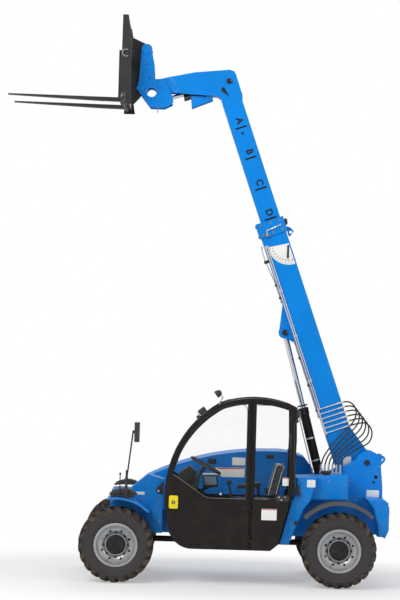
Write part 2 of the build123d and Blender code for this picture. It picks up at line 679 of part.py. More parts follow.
def head():
    """The cranked head: side plates, a back plate, a short throat plate and the tilt pivot sleeve."""
    side = outline(
        (4030, INNER_BOTTOM), (4129, INNER_BOTTOM), (4166, -300), (4275, -575), (TILT_ALONG - 58,
            TILT_BELOW - 24),
        (TILT_ALONG + 8, TILT_BELOW - 62), (TILT_ALONG + 62, TILT_BELOW), (4517, -739), (4479,
            -451), (4392, -92),
        (4362, -52), (4327, -44), (4095, -46), (4030, INNER_TOP), (4062, -165),
    )
    side = side + Pos(TILT_ALONG, TILT_BELOW) * Circle(62)
    plates = pair(slab(side, HEAD_HALF - HEAD_PLATE, HEAD_HALF))
    across = HEAD_HALF - HEAD_PLATE
    top = outline(
        (4095, -46), (4327, -44), (4362, -52), (4392, -92), (4479, -451), (4517, -739), (4497,
            -741), (4460, -454),
        (4374, -97), (4354, -68), (4326, -62), (4095, -64),
    )
    throat = outline((4030, INNER_BOTTOM), (4129, INNER_BOTTOM), (4166, -300), (4210, -412),
        (4228, -405), (4182, -288), (4136, -258), (4030, -262))
    plates.append(slab(top, -across, across))
    plates.append(slab(throat, -across, across))
    plates += pair(rod_y(TILT_ALONG, TILT_BELOW, 112, TILT_EYE_HALF + SIDE_GAP, HEAD_HALF))
    plates.append(rod_y(TILT_BASE_ALONG, TILT_BASE_BELOW, TILT_BARREL_D * 0.5 - 2 * RUNNING_GAP,
        -HEAD_HALF, HEAD_HALF))
    plates += pair(rod_y(TILT_BASE_ALONG, TILT_BASE_BELOW, 72, across - 42, HEAD_HALF + 8))
    body = joined(plates)
    return body - rod_y(TILT_ALONG, TILT_BELOW, 60 + 2 * RUNNING_GAP, -300, 300)


inner_box = boxed(INNER_TAIL, INNER_END, INNER_HALF_WIDTH, INNER_BOTTOM, INNER_TOP, INNER_WALL, 14)
save("boom_outer", BOOM * boom_outer())
save("boom_inner", BOOM * (inner_box + head()))


# ---------------------------------------------------------------- cylinders
def cylinder_pair(base, eye, barrel_d, rod_d, base_dead, eye_dead, closed, width):
    """Barrel and rod between two pins, as (barrel, rod); base and eye are (x, z)."""
    start = Vector(base[0], 0, base[1])
    end = Vector(eye[0], 0, eye[1])
    length = (end - start).length
    frame_plane = Plane(origin=start, x_dir=(0, 1, 0), z_dir=end - start)
    up = (Align.CENTER, Align.CENTER, Align.MIN)
    wall = (barrel_d - rod_d) / 2
    barrel_end = closed - eye_dead
    barrel = frame_plane * Pos(0, 0, base_dead) * Cylinder(barrel_d / 2, barrel_end - base_dead, align=up)
    cavity = frame_plane * Pos(0, 0, base_dead + 30) * Cylinder(rod_d / 2 + RUNNING_GAP, barrel_end,
        align=up)
    gland = frame_plane * Pos(0, 0, barrel_end - 46) * Cylinder(barrel_d / 2 + 5, 40, align=up)
    base_eye = rod_y(base[0], base[1], barrel_d * 0.98, -width / 2, width / 2)
    neck = frame_plane * Pos(0, 0, base_dead / 2) * Box(width * 0.8, barrel_d * 0.7, base_dead + 10)
    tube_body = joined([barrel, gland, base_eye, neck]) - cavity
    tube_body = tube_body - rod_y(base[0], base[1], barrel_d * 0.5, -200, 200)
    rod_start = length - closed + base_dead + 40
    rod = frame_plane * Pos(0, 0, rod_start) * Cylinder(rod_d / 2, length - rod_start, align=up)
    eye_ring = rod_y(eye[0], eye[1], barrel_d * 0.92, -width / 2, width / 2)
    rod_body = joined([rod, eye_ring]) - rod_y(eye[0], eye[1], barrel_d * 0.48, -200, 200)
    return tube_body, rod_body


def boom_point(along, below):
    """A boom-frame point as (x, z) on the raised machine."""
    angle = math.radians(BOOM_ANGLE)
    return (
        PIVOT_X + along * math.cos(angle) - below * math.sin(angle),
        PIVOT_Z + along * math.sin(angle) + below * math.cos(angle),
    )


lift_barrel, lift_rod = cylinder_pair(
    (LIFT_BASE_X, LIFT_BASE_Z), boom_point(LIFT_EYE_ALONG,
        LIFT_EYE_BELOW), LIFT_BARREL_D, LIFT_ROD_D, 60, 140,
    LIFT_CLOSED, 110,
)
save("lift_barrel", lift_barrel)
save("lift_rod", lift_rod)
tilt_barrel, tilt_rod = cylinder_pair(
    boom_point(TILT_BASE_ALONG, TILT_BASE_BELOW), (TILT_EYE_X,
        TILT_EYE_Z), TILT_BARREL_D, TILT_ROD_D, 56, 56,
    TILT_CLOSED, 2 * TILT_EYE_HALF,
)
save("tilt_barrel", tilt_barrel)
save("tilt_rod", tilt_rod)


# ---------------------------------------------------------------- hitch, carriage and forks


def hitch():
    """Two shaped plates outside the boom head, tied by tubes, with the attachment pins."""
    p = (TILT_PIVOT_X, TILT_PIVOT_Z)
    face = outline(
        (p[0] - 134, p[1] - 128), (p[0] - 130, p[1] - 197), (p[0] - 47, p[1] - 239), (p[0] + 101,
            p[1] - 239),
        (p[0] + 256, p[1] - 44), (p[0] + 232, p[1] + 31), (p[0] + 212, p[1] + 375), (p[0] + 110,
            p[1] + 395),
        (p[0] + 75, p[1] + 236), (p[0] + 60, p[1] + 57), (p[0] - 30, p[1] + 66), (p[0] - 62, p[1] + 10),
    )
    face = face + Pos(p[0] + 156, p[1] + 370) * Circle(58) + Pos(p[0] + 94, p[1] - 82) * Circle(96)
    face = face - Pos(p[0] + 94, p[1] - 82) * Circle(50)
    plates = pair(slab(face, HITCH_IN_Y, HITCH_IN_Y + HITCH_PLATE))
    reach = HITCH_IN_Y + HITCH_PLATE
    top_tube = rod_y(*HOOK_TUBE, HOOK_TUBE_D, -reach - 8, reach + 8)
    low_tube = rod_y(*LOCK_PIN, LOCK_PIN_D, -reach - 6, reach + 6)
    cross_tubes = pair(rod_y(p[0] + 20, p[1] - 200, 56, 56, HITCH_IN_Y))
    pivot_pins = pair(rod_y(p[0], p[1], 60, TILT_EYE_HALF + SIDE_GAP, reach + 10))
    eye_cheeks = []
    for cheek in pair(slab(stadium((TILT_EYE_X, TILT_EYE_Z), (p[0] + 20, p[1] - 200), 46, 34), 56, 74)):
        eye_cheeks.append(cheek)
    stubs = pair(rod_y(TILT_EYE_X, TILT_EYE_Z, 50, 70, 84))
    return joined(plates + [top_tube, low_tube] + pivot_pins + cross_tubes + eye_cheeks + stubs)


def carriage():
    """The fork carriage: uprights, two fork bars, load guard and hooking plates."""
    half = CARRIAGE_WIDTH / 2
    upright_face = outline((885, 4929), (880, 5857), (822, 5857), (782, 5640), (782, 5040), (765, 4929))
    pieces = []
    for low, high in ((-half, -half + 30), (half - 30, half)):
        pieces.append(slab(upright_face, low, high))
    post_face = outline((874, 4950), (874, 5857), (828, 5857), (800, 5640), (800, 4950))
    for y in (-300, -79, 79, 300):
        pieces.append(slab(post_face, y - 14, y + 14))
    for low, high in ((5825, 5857), (FORK_BAR_TOP - 80, FORK_BAR_TOP), (4950, 5030)):
        pieces.append(block((836, CARRIAGE_FACE_X), (-half + 10, half - 10), (low, high)))
    hook_face = outline((810, 5690), (650, 5618), (600, 5590), (690, 5500), (690, 5210), (640, 5160),
        (700, 5060), (765, 4990), (810, 4990))
    hook_face = hook_face + Pos(*HOOK_TUBE) * Circle(HOOK_TUBE_D / 2 + 14) + Pos(*LOCK_PIN) * Circle(LOCK_PIN_D / 2 + 18)
    hook_face = hook_face - Pos(*HOOK_TUBE) * Circle(HOOK_TUBE_D / 2 + 0.3) - Pos(*LOCK_PIN) * Circle(LOCK_PIN_D / 2 + 0.3)
    hooks = pair(slab(hook_face, 66, 92))
    ties = [block((800, 836), (-300, 300), (low, low + 60)) for low in (5410, 4960)]
    return joined(pieces + hooks + ties)


def fork(y):
    """One L-shaped fork: shank against the carriage face, blade tapering to its tip."""
    heel_x = CARRIAGE_FACE_X
    tip_x = heel_x + FORK_LENGTH
    top = FORK_HEEL_Z + FORK_THICK
    face = outline(
        (heel_x, FORK_HEEL_Z), (heel_x + 240, FORK_HEEL_Z + 4), (tip_x, top + FORK_RISE - FORK_TIP_T),
        (tip_x, top + FORK_RISE), (heel_x + FORK_THICK, top), (heel_x + FORK_THICK, FORK_BAR_TOP + 20),
        (826, FORK_BAR_TOP + 20), (826, FORK_BAR_TOP - 30), (836, FORK_BAR_TOP - 30), (836, FORK_BAR_TOP),
        (heel_x, FORK_BAR_TOP),
    )
    return slab(face, y - FORK_WIDTH / 2, y + FORK_WIDTH / 2)


save("hitch", hitch())
save("fork_carriage", carriage())
for name, side in SIDES.items():
    save(f"fork_{name}", fork(side * FORK_SPREAD / 2))


# ---------------------------------------------------------------- side tank, nose, fenders, lamps and mirror
def side_tank():
    """The tank and valve cover between the cab and the tower on the left."""
    low_face = outline(
        (-884, 424), (-985, 424), (-1130, 790), (-1200, 880), (-1262, 1126), (-1046, 1115), (-1046, 960),
        (-1006, 890),
    )
    low = slab(low_face, FRAME_OUTER_Y, 700)
    low = fillet(low.faces().sort_by(Axis.Y)[-1].edges(), 14)
    high_face = outline((-1190, 880), (-1590, 880), (-1590, 1146), (-1460, 1146), (-1190, 1122))
    high = slab(high_face, FRAME_OUTER_Y, 600)
    high = fillet(high.faces().sort_by(Axis.Y)[-1].edges(), 24)
    return low + high


def nose(side):
    """A sloped cowl beside the boom, between the cab or the pod and the front axle."""
    if side > 0:
        face = outline((330, 480), (330, 880), (318, 1040), (490, 1091), (760, 860), (870, 790),
            (880, 700), (520, 690), (400, 480))
    else:
        face = outline((530, 640), (530, 900), (700, 860), (870, 790), (880, 640))
    body = slab(face, FRAME_OUTER_Y, 400)
    return body if side > 0 else mirror(body, Plane.XZ)


def fender_arc(axle_x, radius, thick, start, end, y_low, y_high):
    """A curved strip above a wheel, from start to end degrees about the axle."""
    band = Circle(radius + thick) - Circle(radius)
    wedge = make_face(Polyline(
        (0, 0), *[(2000 * math.cos(math.radians(a)), 2000 * math.sin(math.radians(a))) for a in
                  (start, (start + end) / 2, end)], close=True,
    ))
    return slab(Pos(axle_x, AXLE_Z) * (band & wedge), y_low, y_high)


front_fenders = []
rear_fenders = []
for side in (1, -1):
    strip = fender_arc(FRONT_AXLE_X, TYRE_DIAMETER / 2 + FENDER_CLEAR, FRONT_FENDER_T, 78, 134, 400, 880)
    front_fenders.append(strip if side > 0 else mirror(strip, Plane.XZ))
    arc = fender_arc(REAR_AXLE_X, TYRE_DIAMETER / 2 + FENDER_CLEAR, 34, 42, 134, 690, 886)
    stay = block((REAR_AXLE_X - 20, REAR_AXLE_X + 20), (FRAME_OUTER_Y, 700), (AXLE_Z + 472, AXLE_Z + 484))
    rear_fenders.append((arc + stay) if side > 0 else mirror(arc + stay, Plane.XZ))
save("side_tank", side_tank())
save("nose_cowls", nose(1), nose(-1))
save("front_fenders", *front_fenders)
save("rear_fenders", *rear_fenders)

fender_crown = rod_y(FRONT_AXLE_X, AXLE_Z, TYRE_DIAMETER + 2 * (FENDER_CLEAR + FRONT_FENDER_T) + 0.1,
    -1000, 1000)
lamps = []
for side in (1, -1):
    unit = block((640, 850), (side * LAMP_Y - 75, side * LAMP_Y + 75), (898, 950))
    foot = block((720, 780), (side * LAMP_Y - 25, side * LAMP_Y + 25), (860, 898))
    lamps.append(unit + (foot - fender_crown))
save("head_lamps", *lamps)
mirror_pole = bar((700, 812, 860), (700, 812, 1060), 26) - fender_crown + bar((700, 812, 1050),
    (645, 806, 1560), 16)
mirror_head = block((580, 632), (700, 880), (1444, 1642))
save("mirror", joined([mirror_pole, mirror_head, block((620, 655), (796, 816), (1530, 1560))]))

# ---------------------------------------------------------------- steel lines and hoses


def hose_line_along(index):
    """Where steel line number index crosses the boom's side."""
    return LINE_FIRST - LINE_PITCH * index


def tube_along(points, diameter):
    """A round tube along straight runs with tangent arcs, each as large as its runs allow."""
    vectors = [Vector(*p) for p in points]
    radii = []
    for before, here, after in zip(vectors, vectors[1:], vectors[2:]):
        turn = math.radians((here - before).get_angle(after - here))
        run = min((here - before).length, (after - here).length)
        radii.append(0.45 * run / math.tan(turn / 2))
    route = FilletPolyline(*points, radius=radii)
    section = Plane(origin=route @ 0, z_dir=route % 0) * Circle(diameter / 2)
    tube_solid = sweep(section, path=route)
    ideal = route.length * math.pi * diameter**2 / 4
    print(f"tube length {route.length:.0f} radii {[round(r) for r in radii]} volume ratio {tube_solid.volume / ideal:.4f}")
    return tube_solid


def steel_lines():
    """Six crossing lines on the boom's left side, their manifold bar, and two long runs to the boom's mouth."""
    y = OUTER_HALF_WIDTH + LINE_D / 2 + LINE_STAND
    pieces = []
    for index in range(LINE_COUNT):
        along = hose_line_along(index)
        pieces.append(bar((along, y, LINE_END), (along, y, OUTER_BOTTOM + 8), LINE_D))
        pieces.append(bar((along, y, LINE_END), (along, y, LINE_END - 30), LINE_D + 8))
    low = hose_line_along(LINE_COUNT - 1) - 16
    pieces.append(block((low, LINE_FIRST + 16), (OUTER_HALF_WIDTH, y + LINE_D / 2 + 2),
        (OUTER_BOTTOM - 4, OUTER_BOTTOM + 14)))
    for row in range(2):
        level = OUTER_BOTTOM + 8 + 20 * row
        pieces.append(bar((LINE_FIRST, y, level), (2500, y, level), LINE_D))
    for along in (1000, 1500, 2000, 2480):
        pieces.append(block((along - 12, along + 12), (OUTER_HALF_WIDTH, y + LINE_D / 2 + 3),
            (OUTER_BOTTOM - 2, OUTER_BOTTOM + 40)))
    return joined(pieces)


def hose_points(index):
    """A hose's route from its port to the end of its steel line, as world points."""
    along = hose_line_along(index)
    port_x = PORT_X - PORT_PITCH * index
    crest = 62 + 18 * index
    loop = [
        boom_point(along - 238, crest - 58), boom_point(along - 152, crest + 2), boom_point(along - 62,
            crest),
        boom_point(along, crest - 60), boom_point(along, LINE_END),
    ]
    rise = [(port_x, PORT_Y, PORT_Z), (port_x, PORT_Y, PORT_Z + 92)]
    first = loop[0]
    last = rise[-1]
    for share in (0.36, 0.70):
        y = PORT_Y + (HOSE_Y - PORT_Y) * min(1, share * 1.45)
        bow = 26 if share < 0.5 else 18
        rise.append((last[0] + (first[0] - last[0]) * share + bow, y,
            last[2] + (first[1] - last[2]) * share))
    line_y = OUTER_HALF_WIDTH + LINE_D / 2 + LINE_STAND
    ys = (HOSE_Y, HOSE_Y - 4, HOSE_Y - 10, line_y, line_y)
    return rise + [(x, y, z) for (x, z), y in zip(loop, ys)]


save("steel_lines", BOOM * steel_lines())
port_stems = []
for index in range(LINE_COUNT):
    port_x = PORT_X - PORT_PITCH * index
    port_stems.append(bar((port_x, PORT_Y, 1150), (port_x, PORT_Y, PORT_Z), 24))
save("hose_ports", joined([block((PORT_X - PORT_PITCH * 5 - 20, PORT_X + 20),
    (PORT_Y - 20, PORT_Y + 20), (1146, 1156))] + port_stems))
save("hoses", *[tube_along(hose_points(index), HOSE_D) for index in range(LINE_COUNT)])
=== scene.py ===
"""Dresses a compact telescopic handler: tyres, cab, boom, hoses, lamps and every painted finish."""

import logging
import math
from collections.abc import Callable, Iterable, Sequence
from dataclasses import dataclass
from enum import Enum

import bmesh
import bpy
from mathutils import Matrix, Vector


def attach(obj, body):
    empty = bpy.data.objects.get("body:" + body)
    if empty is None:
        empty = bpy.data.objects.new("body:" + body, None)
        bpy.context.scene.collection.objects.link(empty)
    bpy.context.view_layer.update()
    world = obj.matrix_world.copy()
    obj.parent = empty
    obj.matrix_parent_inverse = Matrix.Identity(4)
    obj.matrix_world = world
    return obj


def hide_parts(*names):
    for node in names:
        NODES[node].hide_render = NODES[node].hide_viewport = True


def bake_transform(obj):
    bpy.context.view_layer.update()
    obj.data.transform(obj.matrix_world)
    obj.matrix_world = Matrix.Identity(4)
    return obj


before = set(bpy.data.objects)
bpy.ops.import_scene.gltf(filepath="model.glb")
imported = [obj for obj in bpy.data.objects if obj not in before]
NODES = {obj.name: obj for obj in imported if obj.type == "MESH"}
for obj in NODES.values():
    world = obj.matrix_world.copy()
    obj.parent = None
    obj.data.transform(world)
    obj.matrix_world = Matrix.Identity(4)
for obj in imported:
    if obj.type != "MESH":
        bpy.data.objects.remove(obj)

LOG = logging.getLogger("handler")
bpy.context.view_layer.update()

Point = tuple[float, float, float]
Flat = tuple[float, float]
Shape = bmesh.types.BMesh

# sizes shared with the solid model, in metres
PIVOT_X, PIVOT_Z = -1.805, 1.262
BOOM_ANGLE = math.radians(70.4)
AXLE_X = {"front": 0.792, "rear": -1.496}
AXLE_Z = 0.3875
WHEEL_Y = 0.768
SIDES = {"left": 1.0, "right": -1.0}


class Body(Enum):
    """The moving bodies that pieces ride on."""

    CHASSIS = "chassis"
    DOOR = "door"
    HOOD = "engine_hood"
    OUTER = "boom_outer"
    INNER = "boom_inner"
    HITCH = "hitch"
    BARREL = "lift_barrel"


class Axis(Enum):
    """The row axis that an extrusion or a turned shape runs along."""

    X = 0
    Y = 1
    Z = 2


def boom_point(along: float, square: float, side: float = 0.0) -> Vector:
    """Carries a point on the boom's own axes to the raised machine.

    Args:
        along: Distance from the boom pivot along the boom.
        square: Distance square to the boom, positive on its upper side.
        side: Distance to the machine's left.

    Returns:
        The point in the row frame.
    """
    cos, sin = math.cos(BOOM_ANGLE), math.sin(BOOM_ANGLE)
    return Vector((PIVOT_X + along * cos - square * sin, side, PIVOT_Z + along * sin + square * cos))


BOOM = Matrix.Translation((PIVOT_X, 0.0, PIVOT_Z)) @ Matrix.Rotation(-BOOM_ANGLE, 4, "Y")


# ---------------------------------------------------------------- mesh work
def linked(name: str, data: bpy.types.ID) -> bpy.types.Object:
    """Makes an object of some data in the scene.

    Args:
        name: Object name.
        data: Its mesh or curve.

    Returns:
        The object.
    """
    obj = bpy.data.objects.new(name, data)
    bpy.context.scene.collection.objects.link(obj)
    return obj


def baked(obj: bpy.types.Object) -> bpy.types.Mesh:
    """Evaluates an object into a plain mesh, and removes the object.

    Args:
        obj: The object, with its modifiers or its curve.

    Returns:
        The mesh.
    """
    bpy.context.view_layer.update()
    mesh = bpy.data.meshes.new_from_object(obj.evaluated_get(bpy.context.evaluated_depsgraph_get()))
    bpy.data.objects.remove(obj)
    return mesh


def shape_box(low: Point, high: Point, edge: float = 0.002) -> Shape:
    """Makes a block between two corners with eased edges.

    Args:
        low: Lowest corner.
        high: Highest corner.
        edge: Width of the eased edge.

    Returns:
        The block as a new bmesh.
    """
    bm = bmesh.new()
    bmesh.ops.create_cube(bm, size=1.0)
    span = Vector(high) - Vector(low)
    middle = (Vector(high) + Vector(low)) / 2
    for vert in bm.verts:
        vert.co = Vector((vert.co.x * span.x, vert.co.y * span.y, vert.co.z * span.z)) + middle
    return eased(bm, min(edge, min(span) * 0.3))


def eased(bm: Shape, edge: float, segments: int = 2) -> Shape:
    """Rounds the sharp edges of a closed shape, and returns it.

    Args:
        bm: The shape, which is changed in place.
        edge: Width of the rounding.
        segments: Facets across it.

    Returns:
        The same shape.
    """
    if edge > 0:
        sharp = [
            e
            for e in bm.edges if len(e.link_faces) == 2 and e.calc_face_angle(0.0) > math.radians(32)
        ]
        bmesh.ops.bevel(
            bm, geom=sharp, offset=edge, segments=segments, profile=0.6, affect="EDGES", clamp_overlap=True
        )
    return bm


def shape_plate(
    outline: Sequence[Flat], low: float, high: float, axis: Axis = Axis.Y, edge: float = 0.002
) -> Shape:
    """Extrudes a flat outline.

    Args:
        outline: Corners, as the two row coordinates other than the axis, in X, Y, Z order.
        low: Start along the axis.
        high: End along the axis.
        axis: The row axis it runs along.
        edge: Width of the eased edges.

    Returns:
        The plate as a new bmesh.
    """
    bm = bmesh.new()

    def placed(corner: Flat, at: float) -> Vector:
        """The corner in the row frame, at a distance along the axis."""
        values = list(corner)
        values.insert(axis.value, at)
        return Vector(values)

    lower = [bm.verts.new(placed(c, low)) for c in outline]
    upper = [bm.verts.new(placed(c, high)) for c in outline]
    bm.faces.new(lower)
    bm.faces.new(list(reversed(upper)))
    count = len(outline)
    for n in range(count):
        m = (n + 1) % count
        bm.faces.new((lower[m], lower[n], upper[n], upper[m]))
    bmesh.ops.recalc_face_normals(bm, faces=bm.faces)
    return eased(bm, edge)


def shape_turned(profile: Sequence[Flat], centre: Point, axis: Axis = Axis.Y, steps: int = 48) -> Shape:
    """Turns a closed profile about an axis through a centre.

    Args:
        profile: Corners as (distance along the axis, radius), closed at both ends of the axis.
        centre: The point that distances along the axis start from.
        axis: The row axis it turns about.
        steps: Facets round the axis.

    Returns:
        The turned shape as a new bmesh.
    """
    bm = bmesh.new()
    rings: list[list[bmesh.types.BMVert]] = []
    for along, radius in profile:
        if radius < 1e-6:
            rings.append([bm.verts.new((0.0, along, 0.0))])
            continue
        turn = [2 * math.pi * k / steps for k in range(steps)]
        rings.append([bm.verts.new((radius * math.cos(a), along, radius * math.sin(a))) for a in turn])
    for one, two in zip(rings, rings[1:] + rings[:1]):
        if len(one) == 1 and len(two) == 1:
            continue
        for k in range(steps):
            m = (k + 1) % steps
            if len(one) == 1:
                bm.faces.new((one[0], two[k], two[m]))
            elif len(two) == 1:
                bm.faces.new((one[m], one[k], two[0]))
            else:
                bm.faces.new((one[m], one[k], two[k], two[m]))
    bmesh.ops.recalc_face_normals(bm, faces=bm.faces)
    turn_to = {
        Axis.Y: Matrix.Identity(4), Axis.X: Matrix.Rotation(-math.pi / 2, 4, "Z"),
        Axis.Z: Matrix.Rotation(math.pi / 2, 4, "X")
    }
    bm.transform(Matrix.Translation(centre) @ turn_to[axis])
    return bm


def shape_tube(path: Sequence[Vector], radius: float, sides: int = 12) -> Shape:
    """Sweeps a round section along points, with closed ends.

    Args:
        path: Points of the centreline.
        radius: Radius of the section.
        sides: Facets round the section.

    Returns:
        The tube as a new bmesh.
    """
    bm = bmesh.new()
    points = [Vector(p) for p in path]
    heads = [
        (points[min(n + 1, len(points) - 1)] - points[max(n - 1, 0)]).normalized()
        for n in range(len(points))
    ]
    first = heads[0].orthogonal().normalized()
    rings = []
    for n, (point, head) in enumerate(zip(points, heads)):
        first = (first - head * first.dot(head)).normalized()
        second = head.cross(first)
        stretch = 1.0
        if 0 < n < len(points) - 1:
            bend = (points[n] - points[n - 1]).angle(points[n + 1] - points[n], 0.0)
            stretch = 1 / max(math.cos(bend / 2), 0.6)
        ring = []
        for k in range(sides):
            angle = 2 * math.pi * k / sides
            ring.append(
                bm.verts.new(
                    point + (first * math.cos(angle) + second * math.sin(angle)) * radius
                    * stretch
                )
            )
        rings.append(ring)
    for one, two in zip(rings, rings[1:]):
        for k in range(sides):
            m = (k + 1) % sides
            bm.faces.new((one[k], one[m], two[m], two[k]))
    bm.faces.new(rings[0])
    bm.faces.new(list(reversed(rings[-1])))
    bmesh.ops.recalc_face_normals(bm, faces=bm.faces)
    return bm


def rounded_path(corners: Sequence[Point], radius: float, steps: int = 5) -> list[Vector]:
    """Rounds the corners of a bent pipe's line.

    Args:
        corners: Points of the line.
        radius: Bend radius.
        steps: Points on each bend.

    Returns:
        Points of the rounded line.
    """
    points = [Vector(c) for c in corners]
    path = [points[0]]
    for before, corner, after in zip(points, points[1:], points[2:]):
        reach = min(radius, (before - corner).length * 0.45, (after - corner).length * 0.45)
        start = corner + (before - corner).normalized() * reach
        end = corner + (after - corner).normalized() * reach
        for n in range(steps + 1):
            t = n / steps
            path.append(start * (1 - t) ** 2 + corner * 2 * t * (1 - t) + end * t * t)
    return path + [points[-1]]


def bar_between(start: Point, end: Point, radius: float, sides: int = 16) -> Shape:
    """A plain round bar between two points."""
    return shape_tube([Vector(start), Vector(end)], radius, sides)


def merged(shapes: Iterable[Shape]) -> Shape:
    """Puts several shapes in one bmesh, and frees them.

    Args:
        shapes: The shapes, which are freed.

    Returns:
        The one shape.
    """
    whole = bmesh.new()
    for shape in shapes:
        mesh = bpy.data.meshes.new("part")
        shape.to_mesh(mesh)
        shape.free()
        whole.from_mesh(mesh)
        bpy.data.meshes.remove(mesh)
    return whole


def moved(shape: Shape, matrix: Matrix) -> Shape:
    """Transforms a shape in place, and returns it."""
    shape.transform(matrix)
    return shape


def both_sides(make: Callable[[float], Shape]) -> Shape:
    """Builds a shape for the left and the right side, as make(side)."""
    return merged([make(side) for side in SIDES.values()])


def stadium(start: Flat, end: Flat, radius: float, steps: int = 12) -> list[Flat]:
    """The outline of a strap with round ends, as corners.

    Args:
        start: Centre of one round end.
        end: Centre of the other.
        radius: Radius of both ends.
        steps: Facets round each end.

    Returns:
        The corners.
    """
    head = math.atan2(end[1] - start[1], end[0] - start[0])
    corners = []
    for centre, turn in ((end, head - math.pi / 2), (start, head + math.pi / 2)):
        for n in range(steps + 1):
            a = turn + math.pi * n / steps
            corners.append((centre[0] + radius * math.cos(a), centre[1] + radius * math.sin(a)))
    return corners


def round_rect(low: Flat, high: Flat, radius: float, steps: int = 5) -> list[Flat]:
    """The outline of a rectangle with round corners, as corners.

    Args:
        low: Lowest corner.
        high: Highest corner.
        radius: Corner radius.
        steps: Facets round each corner.

    Returns:
        The corners.
    """
    centres = [
        ((high[0] - radius, high[1] - radius), 0.0),
        ((low[0] + radius, high[1] - radius), math.pi / 2),
        ((low[0] + radius, low[1] + radius), math.pi),
        ((high[0] - radius, low[1] + radius), 3 * math.pi / 2),
    ]
    return [
        (
            c[0] + radius * math.cos(turn + math.pi / 2 * n / steps),
            c[1] + radius * math.sin(turn + math.pi / 2 * n / steps)
        )
        for c, turn in centres
        for n in range(steps + 1)
    ]


class Piece:
    """A finished visible object: its mesh, its material and the body it rides on."""

    @staticmethod
    def place(
        name: str, shape: Shape, finish: "Finish", body: Body | str | None = Body.CHASSIS,
        smooth: bool = True
    ) -> bpy.types.Object:
        """Turns a shape into a named object that rides on a body.

        Args:
            name: Object name.
            shape: The mesh, which is freed.
            finish: Its surface.
            body: The body it moves with.
            smooth: Whether faces shade smoothly across shallow edges.

        Returns:
            The object.
        """
        mesh = bpy.data.meshes.new(name)
        shape.to_mesh(mesh)
        shape.free()
        return Piece.from_mesh(name, mesh, finish, body, smooth)

    @staticmethod
    def from_mesh(
        name: str, mesh: bpy.types.Mesh, finish: "Finish", body: Body | str | None, smooth: bool = True
    ) -> bpy.types.Object:
        """Names, shades, dresses and rides a mesh, and returns its object.

        Args:
            name: Object name.
            mesh: The mesh, which the object keeps.
            finish: Its surface.
            body: The body it moves with, or None.
            smooth: Whether faces shade smoothly across shallow edges.

        Returns:
            The object.
        """
        mesh.name = name
        mesh.materials.clear()
        mesh.materials.append(finish.material())
        if smooth:
            mesh.shade_smooth()
            mesh.set_sharp_from_angle(angle=math.radians(34))
        obj = linked(name, mesh)
        if body is not None:
            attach(obj, body.value if isinstance(body, Body) else body)
        LOG.info("%s: %d faces", name, len(mesh.polygons))
        return obj


# ---------------------------------------------------------------- finishes
def linear(red: int, green: int, blue: int) -> tuple[float, float, float, float]:
    """Converts a screen colour of 0 to 255 to the linear values that shaders take."""

    def one(value: int) -> float:
        """The linear value of one channel."""
        share = value / 255
        return share / 12.92 if share <= 0.04045 else ((share + 0.055) / 1.055) ** 2.4

    return (one(red), one(green), one(blue), 1.0)


class Graph:
    """A short way to add and join the nodes of a tree."""

    def __init__(self, tree: bpy.types.NodeTree) -> None:
        """Wraps a node tree."""
        self.tree = tree

    def add(
        self, kind: str, inputs: dict[str | int, object] | None = None, **settings: object
    ) -> bpy.types.Node:
        """Adds a node.

        Args:
            kind: The node's type name.
            inputs: Values or output sockets for its inputs, by name or index.
            **settings: Properties set on the node.

        Returns:
            The node.
        """
        node = self.tree.nodes.new(kind)
        for key, value in settings.items():
            setattr(node, key, value)
        for key, value in (inputs or {}).items():
            if isinstance(value, bpy.types.NodeSocket):
                self.tree.links.new(value, node.inputs[key])
            else:
                node.inputs[key].default_value = value
        return node

    def math(
        self, operation: str, one: object, two: object = 0.0, clamp: bool = False
    ) -> bpy.types.NodeSocket:
        """Adds a Math node, and returns its output."""
        kind = "ShaderNodeMath"
        return self.add(kind, {0: one, 1: two}, operation=operation, use_clamp=clamp).outputs[0]

    def blend(self, share: object, one: object, two: object, mode: str = "MIX") -> bpy.types.NodeSocket:
        """Mixes two colours, and returns the mixed colour."""
        node = self.add("ShaderNodeMix", {0: share, 6: one, 7: two}, data_type="RGBA", blend_type=mode)
        return node.outputs[2]

    def ramp(self, value: object, low: float, high: float) -> bpy.types.NodeSocket:
        """Stretches a value from low to high onto 0 to 1, clamped."""
        return self.add("ShaderNodeMapRange", {0: value, 1: low, 2: high, 3: 0.0, 4: 1.0}).outputs[0]

    def noise(
        self, where: object, scale: float, detail: float = 4.0, rough: float = 0.55
    ) -> bpy.types.NodeSocket:
        """Adds a noise texture, and returns its value."""
        inputs = {"Vector": where, "Scale": scale, "Detail": detail, "Roughness": rough}
        return self.add("ShaderNodeTexNoise", inputs).outputs[0]


DUST = linear(150, 138, 120)


